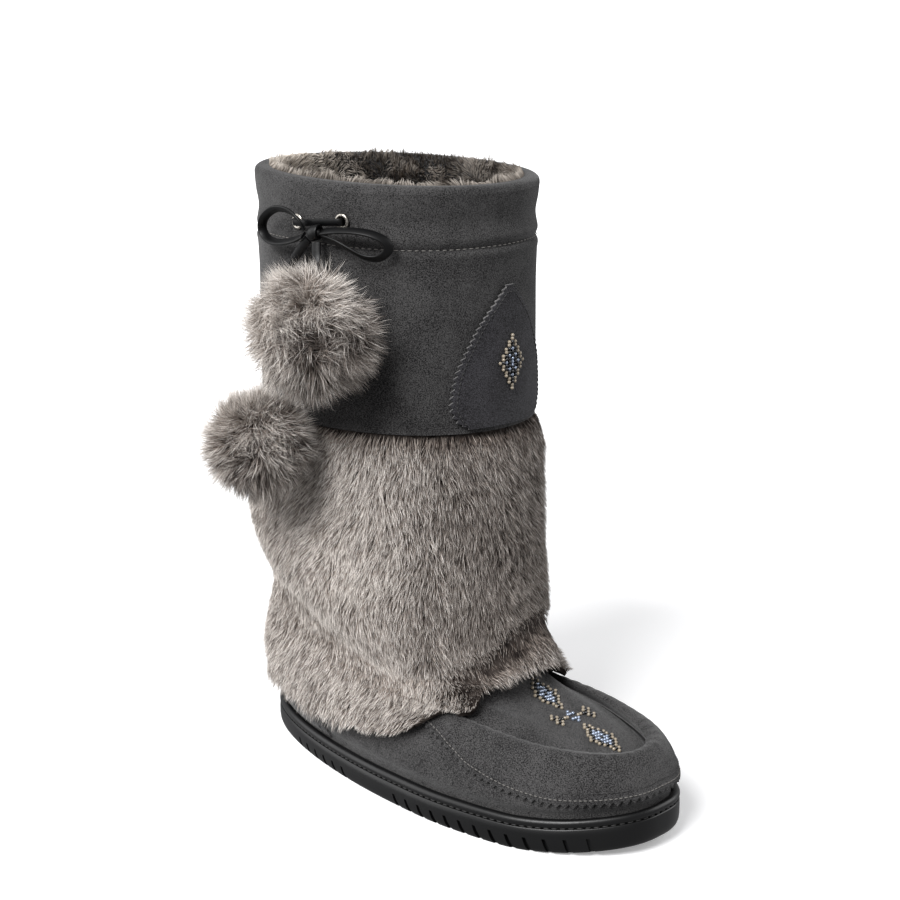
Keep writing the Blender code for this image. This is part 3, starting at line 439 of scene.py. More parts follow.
def suede(name, dark, light):
    """Charcoal split cowhide, drum dyed and brushed: a matt nap that catches light at its edges.

    The fibres stand 0.3 mm apart. They are drawn 0.5 mm apart, or the render could not show them.
    "fold" darkens the colour towards near black: painted shade in the creases, seams and puckers.
    """
    material, tree, shader, place = new_material(name, Roughness=0.93, IOR=1.5, Specular_IOR_Level=0.2,
                                                 Sheen_Weight=0.16, Sheen_Roughness=0.45)
    fold = add_node(tree, "ShaderNodeAttribute", {"attribute_name": "fold"}, out="Fac")
    nap = add_node(tree, "ShaderNodeTexNoise", None,
                   {"Vector": place, "Scale": 1 / (0.5 * MM), "Detail": 1.0, "Roughness": 0.6})
    swept = add_node(tree, "ShaderNodeTexNoise", None,
                     {"Vector": place, "Scale": 1 / (22 * MM), "Detail": 3.0, "Roughness": 0.6})
    shade = add_node(tree, "ShaderNodeMath", {"operation": "MULTIPLY"}, {0: swept, 1: 0.24})
    shade = add_node(tree, "ShaderNodeMath", {"operation": "MULTIPLY_ADD"}, {0: nap, 1: 0.76, 2: shade})
    brushed = add_node(tree, "ShaderNodeValToRGB", None, {"Fac": shade}, ((0.39, dark), (0.61, light)))
    # Painted shade: where "fold" is high, the colour is mixed towards near black #0b0a0b
    colour = add_node(tree, "ShaderNodeMix", {"data_type": "RGBA"},
                      {"Factor": fold, 6: brushed, 7: linear("#0b0a0b")}, out=2)
    tree.links.new(colour, shader.inputs["Base Color"])
    add_node(tree, "ShaderNodeBump", None,
             {"Strength": 0.6, "Distance": 0.6 * MM, "Height": nap}, to=shader.inputs["Normal"])
    return material


def moulded_rubber(name):
    """Moulded nitrile rubber: black, a fine spark grain, a soft sheen on its rounded edges."""
    material, tree, shader, place = new_material(name, "#060607", Roughness=0.46, IOR=1.52,
                                                 Specular_IOR_Level=0.42)
    grain = add_node(tree, "ShaderNodeTexNoise", None, {"Vector": place, "Scale": 1 / (0.7 * MM)})
    cloudy = add_node(tree, "ShaderNodeTexNoise", None, {"Vector": place, "Scale": 1 / (18 * MM)})
    add_node(tree, "ShaderNodeMapRange", None,
             {"Value": cloudy, "To Min": 0.32, "To Max": 0.46}, to=shader.inputs["Roughness"])
    add_node(tree, "ShaderNodeBump", None,
             {"Strength": 0.18, "Distance": 0.25 * MM, "Height": grain}, to=shader.inputs["Normal"])
    return material


def lace_leather(name):
    """Flat lace cut from waxed black cowhide: a low even gloss and a fine grain."""
    material, tree, shader, place = new_material(name, "#050506", Roughness=0.45, IOR=1.5,
                                                 Specular_IOR_Level=0.3)
    grain = add_node(tree, "ShaderNodeTexNoise", None, {"Vector": place, "Scale": 1 / (0.9 * MM)})
    add_node(tree, "ShaderNodeBump", None,
             {"Strength": 0.3, "Distance": 0.2 * MM, "Height": grain}, to=shader.inputs["Normal"])
    return material


def hair(name, dark_stops, light_stops, rough=0.6):
    """Guard hair: bands of colour from root to tip, so that the pile looks peppered.

    "along" runs from 0 at the root to 1 at the tip, and "tone" is how pale the hair is.
    """
    material, tree, shader = new_material(name, Roughness=rough, IOR=1.45, Specular_IOR_Level=0.25)[:3]
    along = add_node(tree, "ShaderNodeAttribute", {"attribute_name": "along"}, out="Fac")
    tone = add_node(tree, "ShaderNodeAttribute", {"attribute_name": "tone"}, out="Fac")
    dark = add_node(tree, "ShaderNodeValToRGB", None, {"Fac": along}, dark_stops)
    light = add_node(tree, "ShaderNodeValToRGB", None, {"Fac": along}, light_stops)
    blend = add_node(tree, "ShaderNodeMix", {"data_type": "RGBA"}, {"Factor": tone, 6: dark, 7: light},
                     out=2)
    tree.links.new(blend, shader.inputs["Base Color"])
    return material


def bonded_thread(name, colour):
    """Bonded polyester thread: 0.5 mm thick, with a slight gloss and the twist of its plies."""
    material, tree, shader, place = new_material(name, colour, Roughness=0.55, Specular_IOR_Level=0.4)
    ply = add_node(tree, "ShaderNodeTexWave", {"bands_direction": "DIAGONAL"},
                   {"Vector": place, "Scale": 1 / (3 * MM)})
    add_node(tree, "ShaderNodeBump", None,
             {"Strength": 0.3, "Distance": 0.1 * MM, "Height": ply}, to=shader.inputs["Normal"])
    return material


def glass_bead(name, colour, metal=0.0, rough=0.22):
    """Seed bead of cut glass cane, fire polished: each one holds a small highlight."""
    return new_material(name, colour, Roughness=rough, IOR=1.52, Metallic=metal, Coat_Weight=0.4)[0]


def nickel_plate(name):
    """Nickel plated brass, stamped and tumbled: bright, with soft reflections and rub marks."""
    material, tree, shader, place = new_material(name, "#b7b2aa", Metallic=1.0, Roughness=0.27)
    rubbed = add_node(tree, "ShaderNodeTexNoise", None, {"Vector": place, "Scale": 1 / (1.5 * MM)})
    add_node(tree, "ShaderNodeMapRange", None,
             {"Value": rubbed, "To Min": 0.18, "To Max": 0.38}, to=shader.inputs["Roughness"])
    return material


def shearling(name):
    """Tanned shearling: dense matt wool over its skin, in natural brown and beige patches."""
    material, tree, shader, place = new_material(name, Roughness=0.9, Specular_IOR_Level=0.15,
                                                 Sheen_Weight=0.15)
    patch = add_node(tree, "ShaderNodeTexNoise", None, {"Vector": place, "Scale": 1 / (30 * MM)})
    curl = add_node(tree, "ShaderNodeTexNoise", None,
                    {"Vector": place, "Scale": 1 / (2.6 * MM), "Detail": 3.0, "Roughness": 0.6})
    shade = add_node(tree, "ShaderNodeMath", {"operation": "MULTIPLY"}, {0: patch, 1: 0.6})
    shade = add_node(tree, "ShaderNodeMath", {"operation": "MULTIPLY_ADD"}, {0: curl, 1: 0.45, 2: shade})
    add_node(tree, "ShaderNodeValToRGB", None,
             {"Fac": shade}, ((0.36, "#2b241f"), (0.52, "#584c43"), (0.70, "#8b8075")),
             to=shader.inputs["Base Color"])
    add_node(tree, "ShaderNodeBump", None,
             {"Strength": 0.8, "Distance": 1.6 * MM, "Height": curl}, to=shader.inputs["Normal"])
    return material


def pelt_skin(name):
    """Skin under the pile: matt, in the shade of the roots, mottled where the pile parts."""
    material, tree, shader, place = new_material(name, Roughness=0.95, Specular_IOR_Level=0.1)
    mottle = add_node(tree, "ShaderNodeTexNoise", None, {"Vector": place, "Scale": 1 / (7 * MM)})
    add_node(tree, "ShaderNodeValToRGB", None,
             {"Fac": mottle}, ((0.35, "#1f1a18"), (0.65, "#47403c")), to=shader.inputs["Base Color"])
    return material


SUEDE = suede("brushed charcoal suede", "#0f0e0f", "#504f4f")
SUEDE_EDGE = suede("cut edge of the suede", "#2b2a2a", "#868484")
SUEDE_DARK = suede("brushed charcoal suede, patch", "#0e0d0e", "#454448")
RUBBER = moulded_rubber("moulded black rubber")
LACE = lace_leather("waxed black lace leather")
NICKEL = nickel_plate("plated nickel")
THREAD = bonded_thread("grey thread", "#716e6b")
THREAD_DARK = bonded_thread("charcoal thread", "#373636")
WOOL = shearling("brown shearling")
FUR = hair("rabbit fur",
           ((0.0, "#15110f"), (0.4, "#52463f"), (0.64, "#241d1a"), (0.84, "#8b8078"), (1.0, "#463d37")),
           ((0.0, "#675e57"), (0.4, "#c4b9b0"), (0.62, "#a0948b"), (0.84, "#fff9f3"), (1.0, "#ece3da")))
WOOL_HAIR = hair("shearling ends", ((0.0, "#1c1713"), (1.0, "#54473c")),
                 ((0.0, "#9a9086"), (1.0, "#f4ece2")), 0.8)
PELT = pelt_skin("rabbit pelt")
BEADS = {"t": glass_bead("taupe glass", "#968b7a"), "k": glass_bead("jet glass", "#0f1013"),
         "b": glass_bead("silver blue glass", "#9aa5b8", 0.5, 0.18)}


def set_stage():
    """Camera at the photo's angle, pale floor, soft studio lights."""
    camera = bpy.data.objects.new("camera", bpy.data.cameras.new("camera"))
    bpy.context.scene.collection.objects.link(camera)
    camera.location = CAMERA_AT
    camera.rotation_euler = Vector(CAMERA_AIM).to_track_quat("-Z", "Y").to_euler()
    camera.data.lens = CAMERA_LENS
    camera.data.sensor_width = 36
    camera.data.clip_end = 20
    bpy.context.scene.camera = camera
    bpy.context.scene.view_settings.view_transform = "Standard"

    floor_paint = new_material("pale studio floor", "#f4f4f5", Roughness=0.9, Specular_IOR_Level=0.1,
                               Emission_Color=linear("#ffffff"), Emission_Strength=0.27)[0]
    floor = add_piece("floor", [(-60, -60, 0), (60, -60, 0), (60, 60, 0), (-60, 60, 0)], [[0, 1, 2, 3]],
                      floor_paint, 0)
    # The floor glows a little, so that it stays white, and lends the boot none of that light
    floor.visible_diffuse = False
    floor.visible_glossy = False

    world = bpy.data.worlds.new("studio")
    world.use_nodes = True
    background = world.node_tree.nodes["Background"]
    background.inputs["Color"].default_value = (0.98, 0.985, 1.0, 1)
    # The camera sees a white studio, which fills the shadows less strongly than that
    seen = add_node(world.node_tree, "ShaderNodeLightPath", out="Is Camera Ray")
    glow = add_node(world.node_tree, "ShaderNodeMapRange", None,
                    {"Value": seen, "To Min": 0.34, "To Max": 1.0})
    world.node_tree.links.new(glow, background.inputs["Strength"])
    bpy.context.scene.world = world
    for name, at, angle, power in (("key light, upper left", (0.12, -0.74, 0.68), 0.5, 3.9),
                                   ("side light, left", (-0.85, -0.65, 0.32), 1.0, 1.4),
                                   ("edge light, right", (0.55, 0.95, 0.50), 0.9, 1.3)):
        light = bpy.data.lights.new(name, "SUN")
        light.angle = angle
        light.energy = power
        lamp = bpy.data.objects.new(name, light)
        lamp.location = at
        lamp.rotation_euler = (-Vector(at)).to_track_quat("-Z", "Y").to_euler()
        bpy.context.scene.collection.objects.link(lamp)


def strip(name, points, across, width, thick, material):
    """Flat lace along a path, with round edges; across is the direction of its width."""
    along = unit(np.gradient(points, axis=0))
    across = unit(across - along * np.sum(across * along, -1, keepdims=True))
    up = np.cross(along, across)
    profile = ((-0.5, -0.25), (-0.42, -0.5), (0.42, -0.5), (0.5, -0.25), (0.5, 0.25), (0.42, 0.5),
               (-0.42, 0.5), (-0.5, 0.25))
    rings = np.stack([points + across * (a * width) + up * (b * thick) for a, b in profile], 1)
    rows, cols = rings.shape[:2]
    piece = add_piece(name, rings, tube_faces(rows, cols), material, 50)
    faces_out(piece)
    return piece


def eyelet_seat(deg, up):
    """Middle of an eyelet on the cuff's face, and the direction out of it."""
    phi = np.array([math.radians(deg)])
    v = section_at(phi, COLLAR_H + up * MM)
    on_face = upper_offset(phi, v, FACE_OUT)[0]
    return on_face, unit(on_face - upper_offset(phi, v, 0.0)[0])


def side_vectors(normal):
    first = unit(np.cross(normal, UP))
    return first, np.cross(normal, first)


def make_eyelets():
    """Stamped ring eyelets: a rolled flange on the suede and a dark throat."""
    for name, (deg, up) in EYELETS.items():
        seat, normal = eyelet_seat(deg, up)
        a, b = side_vectors(normal)
        turn = np.linspace(0, 2 * math.pi, 10, endpoint=False)
        profile = [(3.1 * MM + 0.95 * MM * math.cos(t), 0.6 * MM + 0.68 * MM * math.sin(t)) for t in turn]
        rings = []
        for angle in around(40):
            out = a * math.cos(angle) + b * math.sin(angle)
            rings.append([seat + out * r + normal * h for r, h in profile])
        ring = add_piece(name + "_ring", rings, ring_faces(40, 10), NICKEL, 0)
        faces_out(ring)
        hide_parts(name)
        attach(ring, "root")
        barrel = []
        for h in (-2.6 * MM, 0.5 * MM):
            barrel.append([seat + (a * math.cos(t) + b * math.sin(t)) * 2.25 * MM + normal * h
                           for t in around(24)])
        faces = grid_faces(2, 24) + [list(range(24))]
        throat = add_piece(name + "_barrel", barrel, faces, NICKEL, 0)
        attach(throat, "root")


def ball(subdivisions):
    """Places and faces of a ball of radius 1."""
    bm = bmesh.new()
    bmesh.ops.create_icosphere(bm, subdivisions=subdivisions, radius=1.0)
    places = np.array([v.co[:] for v in bm.verts])
    faces = [[v.index for v in f.verts] for f in bm.faces]
    bm.free()
    return places, faces


def ring_faces(rows, cols):
    """Faces of a closed ring of closed profiles."""
    return [[corner % (rows * cols) for corner in face] for face in grid_faces(rows + 1, cols)]


def make_lace():
    """The drawstring's bar, knot, two loops and two ends, with the real length of each."""
    width, thick = 4.8 * MM, 1.3 * MM
    outward = np.array([0.16, -0.98, 0.1])

    ends = []
    for deg, up in EYELETS.values():
        seat, normal = eyelet_seat(deg, up)
        ends.append([seat + normal * rise for rise in (-2.2 * MM, 0.8 * MM, 3.0 * MM)])
    bar_points = smooth_route(np.array(ends[0] + list(from_collar(LACE_BAR)) + ends[1][::-1]), 40)[0]
    up = np.tile(np.array([0.0, -0.25, 1.0]), (len(bar_points), 1))
    bar = strip("lace_through_eyelets", bar_points, up, 3.6 * MM, thick, LACE)
    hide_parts("lace_bar")
    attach(bar, "root")

    for name, node, route, tilt in (("bow_loop_back", "lace_loop_back", LOOP_BACK, 0.55),
                                    ("bow_loop_front", "lace_loop_front", LOOP_FRONT, 0.55)):
        points, length = smooth_route(from_collar(route), 64)
        along = unit(np.gradient(points, axis=0))
        inplane = np.cross(along, outward)
        loop = strip(name, points, outward * 0.8 + inplane * tilt, width, thick, LACE)
        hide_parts(node)
        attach(loop, "root")

    for name, node, route in (("lace_end_front", "lace_tail_front", TAIL_FRONT),
                              ("lace_end_back", "lace_tail_back", TAIL_BACK)):
        points, length = smooth_route(from_collar(route), 60)
        along = unit(np.gradient(points, axis=0))
        sideways = np.cross(along, outward)
        end = strip(name, points, sideways + 0.25 * outward, width * 0.95, thick, LACE)
        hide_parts(node)
        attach(end, "root")

    # Knot: one turn of lace over a small core
    centre = from_collar(KNOT)
    turn = np.linspace(0, 2 * math.pi, 36)
    wrap = np.stack([1.6 * MM * np.sin(turn * 0.5), 2.9 * MM * np.cos(turn), 3.3 * MM * np.sin(turn)], -1)
    across = np.tile(np.array([1.0, 0.1, 0.25]), (36, 1))
    knot = strip("bow_knot", centre + wrap, across, 5.4 * MM, 1.3 * MM, LACE)
    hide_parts("lace_knot")
    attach(knot, "root")
    places, faces = ball(3)
    core = add_piece("bow_knot_core", centre + places * np.array([5.0, 2.4, 2.9]) * MM, faces, LACE, 0)
    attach(core, "root")


def hair_piece(name, roots, lift_to, lay_to, length, width, tone, seed, material):
    """Tapered hairs as narrow ribbons: each leaves its root along lift_to and ends along lay_to."""
    rng = np.random.default_rng(seed)
    count = len(roots)
    lift_to = unit(lift_to)
    lay_to = unit(lay_to)
    middle = roots + lift_to * (length * 0.5)[:, None]
    tip = middle + lay_to * (length * 0.55)[:, None]
    face = unit(np.cross(lay_to, np.cross(lift_to + lay_to * 0.01, lay_to) + rng.normal(0, 0.4, (count, 3))))
    side = unit(np.cross(lay_to, face))
    half = (width * rng.uniform(0.7, 1.3, count))[:, None] / 2
    verts = np.empty((count, 5, 3))
    verts[:, 0] = roots - side * half
    verts[:, 1] = roots + side * half
    verts[:, 2] = middle - side * half * 0.85
    verts[:, 3] = middle + side * half * 0.85
    verts[:, 4] = tip
    base = np.arange(count)[:, None] * 5
    quads = (base + np.array([0, 1, 3, 2])[None, :])
    ends = (base + np.array([2, 3, 4])[None, :])
    mesh = bpy.data.meshes.new(name)
    mesh.vertices.add(count * 5)
    mesh.vertices.foreach_set("co", verts.reshape(-1))
    mesh.loops.add(count * 7)
    mesh.loops.foreach_set("vertex_index", np.concatenate([quads, ends], 1).reshape(-1).astype(np.int32))
    mesh.polygons.add(count * 2)
    starts = (np.arange(count)[:, None] * 7 + np.array([0, 4])[None, :]).reshape(-1)
    mesh.polygons.foreach_set("loop_start", starts.astype(np.int32))
    mesh.update()
    mesh.validate()
    along = np.tile(np.array([0.0, 0.0, 0.55, 0.55, 1.0]), count)
    mesh.attributes.new("along", "FLOAT", "POINT").data.foreach_set("value", along)
    mesh.attributes.new("tone", "FLOAT", "POINT").data.foreach_set(
        "value", np.repeat(np.clip(tone, 0, 1), 5))
    mesh.shade_smooth()
    piece = bpy.data.objects.new(name, mesh)
    bpy.context.scene.collection.objects.link(piece)
    mesh.materials.append(material)
    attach(piece, "root")
    return piece


def scatter(fields, count, seed, weight):
    """Even places on a grid surface, by area; returns each field there. fields[0] is the surface."""
    surface = fields[0]
    rows, cols = surface.shape[:2]
    right = np.roll(surface, -1, 1)
    area = np.linalg.norm(np.cross(right[:-1] - surface[:-1], surface[1:] - surface[:-1]), axis=-1)
    area = area * weight[:area.shape[0]]
    rng = np.random.default_rng(seed)
    cell = rng.choice(area.size, count, p=(area / area.sum()).reshape(-1))
    r, c = np.divmod(cell, area.shape[1])
    u, w = rng.uniform(0, 1, count), rng.uniform(0, 1, count)
    n = (c + 1) % cols
    out = []
    for field in fields:
        if field.ndim == 2:
            field = field[..., None]
        value = ((field[r, c] * (1 - u[:, None]) + field[r, n] * u[:, None]) * (1 - w[:, None])
                 + (field[r + 1, c] * (1 - u[:, None]) + field[r + 1, n] * u[:, None]) * w[:, None])
        out.append(value[:, 0] if value.shape[-1] == 1 else value)
    return out


def make_pompom(name, node, centre, radius, count, seed, share_mid):
    """Fur pompom: strips of rabbit pelt wound on a core, hair on all sides."""
    middle = from_collar(centre)
    way, faces = ball(4)
    verts = middle + way * radius * (0.62 + 0.06 * cloud(way, 0.5, seed))[:, None]
    core = add_piece(name + "_core", verts, faces, PELT, 0)
    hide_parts(node)
    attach(core, "root")
    rng = np.random.default_rng(seed)
    way = unit(rng.normal(0, 1, (count, 3)))
    roots = middle + way * radius * 0.58
    lump = cloud(way, 0.34, seed + 1)
    swirl = drift(way, 0.55, seed + 2)
    clump = drift(way, 0.14, seed + 5)
    lift = unit(way + 0.35 * swirl + 0.35 * clump + rng.normal(0, 0.14, (count, 3)))
    lay = unit(0.75 * way + 0.9 * swirl + 1.1 * clump + np.array([0.05, 0, -0.25])
               + rng.normal(0, 0.18, (count, 3)))
    length = radius * (0.57 + 0.10 * lump) * rng.uniform(0.56, 1.26, count)
    tips = roots + lift * (length * 0.5)[:, None] + lay * (length * 0.55)[:, None]
    # Hairs whose tips would end inside the cuff are left out
    clear = 4.2 * MM
    keep = np.hypot(tips[:, 0] / (SHAFT_L / 2 + clear), tips[:, 1] / (SHAFT_W / 2 + clear)) > 1.0
    # Painted shade: each pompom's hairs turn darker towards the toe and downwards, the side turned from the
    # lights, and paler on the side towards them; the rest of their tone varies at random
    share = (share_mid + 0.42 * cloud(way, 0.5, seed + 8)
             - 0.6 * np.clip(way @ unit(np.array([0.75, 0.1, -0.65])), -0.6, 1))
    hair_piece(name + "_fur", roots[keep], lift[keep], lay[keep], length[keep], POMPOM_HAIR_W,
               peppered(share, rng)[keep], seed + 9, FUR)


def peppered(share, rng):
    """Tone of each hair: a share of the hairs is pale, the others are dark."""
    pale = rng.random(share.shape) < np.clip(share, 0.03, 0.97)
    return np.where(pale, rng.normal(0.86, 0.14, share.shape), rng.normal(0.20, 0.16, share.shape))


def softened(vectors, times=4):
    """Soft directions of length 1."""
    return unit(softened_field(vectors, times))


def run_of(points, closed=False):
    """Length run so far at each point of a line."""
    step = np.linalg.norm(np.diff(points, axis=0), axis=1)
    if closed:
        step = np.append(step, np.linalg.norm(points[0] - points[-1]))
    return np.concatenate([[0], np.cumsum(step)])


def along_line(points, pitch, normals, closed):
    """Places a pitch apart along a line, with their directions and the normals there."""
    run = run_of(points, closed)
    if closed:
        points = np.vstack([points, points[:1]])
        normals = np.vstack([normals, normals[:1]])
    count = max(int(round(run[-1] / pitch)), 1)
    at = (np.arange(count) + 0.5) * run[-1] / count

    def found(where, field):
        return np.stack([np.interp(where, run, field[:, k]) for k in range(3)], -1)

    ahead = found(at + pitch * 0.2, points) - found(at - pitch * 0.2, points)
    return found(at, points), unit(ahead), found(at, normals)


# Seams in millimetres: pitch, length of a stitch and half the thickness of its thread
SEAMS = {"sole_stitches": (4.2, 3.3, 0.42), "apron_stitches_low": (2.5, 1.8, 0.28),
         "apron_stitches_high": (2.5, 1.8, 0.28), "counter_stitches_outer": (2.8, 2.0, 0.30),
         "counter_stitches_inner": (2.8, 2.0, 0.30), "cuff_fold_stitches": (3.4, 2.2, 0.30),
         "cuff_hem_stitches": (2.6, 1.8, 0.26), "patch_stitches": (2.5, 1.8, 0.28)}


def make_stitches(name, line, normals, material, closed=False):
    """Stitches along a line: small round arches of thread that dip into the leather at both ends."""
    pitch, length, radius = (size * MM for size in SEAMS[name])
    places, along, out = along_line(line, pitch, normals, closed)
    profile = ((-0.5, 0.3), (-0.28, 1.0), (0.28, 1.0), (0.5, 0.3))
    side = unit(np.cross(along, out))
    out = unit(np.cross(side, along))
    rows, cols = len(profile), 5
    turn = around(cols)
    rings = np.empty((len(places), rows, cols, 3))
    for r, (share, size) in enumerate(profile):
        rise = radius * (1.3 * (1 - (2 * share) ** 2) - 0.55)
        for c, angle in enumerate(turn):
            rings[:, r, c] = (places + along * (share * length) + out * rise
                              + (side * math.cos(angle) + out * math.sin(angle)) * (radius * size))
    faces = []
    plain = tube_faces(rows, cols)
    for k in range(len(places)):
        faces += [[i + k * rows * cols for i in f] for f in plain]
    piece = add_piece(name, rings, faces, material, 0)
    faces_out(piece)
    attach(piece, "root")
    return piece


def sole_ring(inset, height, count):
    c, s = oval(around(count), SOLE_ROUND)
    x = SOLE_L / 2 - HEEL_BACK + (SOLE_L / 2 - inset) * c
    y = (sole_half(x, s > 0) - inset) * s
    return np.stack([x, y, height(x)], -1)


def across_faces(verts, ring_start, count, height, columns, flip):
    """Fill a ring with strips that run across the foot."""
    half = count // 2
    strips = []
    for k in range(1, half):
        left, right = verts[ring_start + count - k], verts[ring_start + k]
        strip = [ring_start + count - k]
        for j in range(1, columns):
            point = left + (right - left) * (j / columns)
            verts.append(np.array([point[0], point[1], height(point[0], j / columns)]))
            strip.append(len(verts) - 1)
        strip.append(ring_start + k)
        strips.append(strip)
    faces = []
    for tip, strip in ((ring_start, strips[0]), (ring_start + half, strips[-1][::-1])):
        faces += [[tip, strip[j], strip[j + 1]] for j in range(columns)]
    for a, b in zip(strips[:-1], strips[1:]):
        faces += [[a[j], b[j], b[j + 1], a[j + 1]] for j in range(columns)]
    return [f[::-1] for f in faces] if flip else faces


def cut_away(piece, cutters):
    """Cut solids out of a piece for good."""
    for cutter in cutters:
        boolean = piece.modifiers.new("cut", "BOOLEAN")
        boolean.operation = "DIFFERENCE"
        boolean.solver = "EXACT"
        boolean.object = cutter
    bpy.context.view_layer.update()
    graph = bpy.context.evaluated_depsgraph_get()
    mesh = bpy.data.meshes.new_from_object(piece.evaluated_get(graph))
    piece.modifiers.clear()
    piece.data = mesh
    for cutter in cutters:
        bpy.data.objects.remove(cutter)
    mesh.set_sharp_from_angle(angle=math.radians(35))


# Side of the sole from the tread up: inset in mm, share of the sidewall and share of the bead
SOLE_SIDE = ((2.6, 0.0, 0.0), (1.5, 0.02, 0.0), (0.8, 0.09, 0.0), (0.3, 0.20, 0.0), (0.0, 0.38, 0.0),
             (0.0, 0.75, 0.0), (0.15, 0.97, 0.0), (0.5, 1.0, 0.02), (1.8, 1.0, 0.05), (1.9, 1.0, 0.12),
             (1.8, 1.0, 0.18), (0.75, 1.0, 0.20), (0.25, 1.0, 0.28), (0.0, 1.0, 0.44), (0.05, 1.0, 0.62),
             (0.4, 1.0, 0.80), (1.1, 1.0, 0.94), (2.0, 1.0, 1.0), (3.2, 1.0, 0.99), (4.0, 1.0, 0.90),
             (4.3, 1.0, 0.66), (4.4, 1.0, SEAT_H / BEAD_H))
SLASH_W, SLASH_DEEP, SLASH_PITCH = 2.3 * MM, 2.6 * MM, 9.4 * MM
SLASH_H_HEEL, SLASH_H_TOE = 5 * MM, 8 * MM
SLASH_GROUPS = ((0.179, 0.354), (0.518, 0.931))
CHEVRON_W, CHEVRON_DEEP, CHEVRON_PITCH, CHEVRON_HALF = 3.2 * MM, 1.8 * MM, 19 * MM, 30 * MM


def slash_solid(phi, verts, faces):
    """One curved slot in the lower sidewall, sloping down towards the toe."""
    ring = []
    for angle in (phi - 0.01, phi, phi + 0.01):
        c, s = oval(angle, SOLE_ROUND)
        x = SOLE_L / 2 - HEEL_BACK + SOLE_L / 2 * c
        ring.append(np.array([float(x), float(sole_half(x, s > 0) * s), 0.0]))
    here = ring[1]
    tangent = unit(ring[2] - ring[0])
    tangent = -tangent if tangent[0] < 0 else tangent
    outward = np.array([tangent[1], -tangent[0], 0.0])
    outward = -outward if outward[1] * here[1] < 0 else outward
    high = mix(SLASH_H_HEEL, SLASH_H_TOE, float(sole_share(here[0]))) + float(toe_rise(here[0]))
    w = SLASH_W / 2
    outline = [(-w, high), (w * 0.6, high), (2.4 * w, high * 0.5), (5 * w, -1 * MM), (2.6 * w, -1 * MM),
               (0.4 * w, high * 0.45)]
    start, n = len(verts), len(outline)
    for out in (-SLASH_DEEP, 2 * MM):
        verts += [here + tangent * a + outward * out + np.array([0, 0, z]) for a, z in outline]
    faces.append([start + i for i in range(n)])
    faces.append([start + n + i for i in range(n)][::-1])
    faces += [[start + i, start + n + i, start + n + (i + 1) % n, start + (i + 1) % n] for i in range(n)]


def chevron_solid(x, half, verts, faces):
    """One shallow V across the tread."""
    w, point = CHEVRON_W / 2, half * 0.3
    outline = [(x - w, -half), (x + w, -half), (x + w + point, 0), (x + w, half), (x - w, half),
               (x - w + point, 0)]
    start, n = len(verts), len(outline)
    for z in (-2 * MM, CHEVRON_DEEP):
        verts += [np.array([px, py, z + float(toe_rise(px))]) for px, py in outline]
    faces += [[start, start + 5, start + 2, start + 1], [start + 5, start + 4, start + 3, start + 2],
              [start + n, start + n + 1, start + n + 2, start + n + 5],
              [start + n + 5, start + n + 2, start + n + 3, start + n + 4]]
    faces += [[start + i, start + (i + 1) % n, start + n + (i + 1) % n, start + n + i] for i in range(n)]


def make_sole():
    """Moulded outsole: slotted side, a stitched groove and a rolled bead around the feather line."""
    count = 200
    verts = []
    for inset, side, bead in SOLE_SIDE:
        verts += list(sole_ring(inset * MM, lambda x: toe_rise(x) + side * side_height(x) + bead * BEAD_H,
                                count))
    faces = grid_faces(len(SOLE_SIDE), count)
    groups = [[share * SOLE_L - HEEL_BACK for share in group] for group in SLASH_GROUPS]
    waist = (groups[0][1] + groups[1][0]) / 2
    waist_half = (groups[1][0] - groups[0][1]) / 2

    def tread(x, share):
        hollow = max(0.0, 1 - ((x - waist) / waist_half) ** 2)
        return float(toe_rise(x)) + ARCH_RISE * hollow * math.sin(math.pi * share)

    faces += across_faces(verts, 0, count, tread, 6, True)
    faces += across_faces(verts, (len(SOLE_SIDE) - 1) * count, count,
                          lambda x, share: float(seat_height(x)), 2, False)
    sole = add_piece("sole", verts, faces, RUBBER)
    faces_out(sole)
    slots, slot_faces, chevrons, chevron_faces = [], [], [], []
    for start, end in groups:
        for x in np.arange(start, end, SLASH_PITCH):
            angle = math.acos((x - SOLE_L / 2 + HEEL_BACK) / (SOLE_L / 2))
            slash_solid(angle, slots, slot_faces)
            slash_solid(-angle, slots, slot_faces)
    for x in np.arange(groups[1][0] + CHEVRON_PITCH, groups[1][1] - 2 * CHEVRON_PITCH, CHEVRON_PITCH):
        chevron_solid(x, CHEVRON_HALF, chevrons, chevron_faces)
    for x in groups[0][0] + CHEVRON_PITCH * np.arange(-1, 2):
        chevron_solid(x, CHEVRON_HALF * 0.7, chevrons, chevron_faces)
    cutters = []
    for name, v, f in (("slots", slots, slot_faces), ("chevrons", chevrons, chevron_faces)):
        cutters.append(add_piece(name, v, f, RUBBER))
        faces_out(cutters[-1])
    cut_away(sole, cutters)
    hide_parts("outsole")
    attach(sole, "root")
    line, inner = (sole_ring(inset, lambda x: toe_rise(x) + side_height(x) + 0.115 * BEAD_H, 400)
                   for inset in (1.3 * MM, 2.3 * MM))
    make_stitches("sole_stitches", line, unit(line - inner), THREAD_DARK, True)


def make_footbed():
    """Shearling footbed."""
    count = 96
    inset = SECTIONS[0][5] * BALL_W + WALL + 2 * GAP
    verts = []
    for further, rise in ((0.0, 0.0), (0.0, 3.6 * MM), (1.2 * MM, 4.9 * MM)):
        verts += list(sole_ring(inset + further, lambda x: seat_height(x) + GAP + rise, count))
    faces = grid_faces(3, count)
    faces += across_faces(verts, 0, count, lambda x, share: float(seat_height(x)) + GAP, 2, True)
    faces += across_faces(verts, 2 * count, count,
                          lambda x, share: float(seat_height(x)) + GAP + 5 * MM
                          + 0.5 * MM * float(cloud(np.array([x, share * 0.09, 0.0]), 6 * MM, 5)), 24, False)
    bed = add_piece("footbed", verts, faces, WOOL, 60)
    faces_out(bed)
    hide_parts("insole")
    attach(bed, "root")


PLUG_CREASE = 5.8


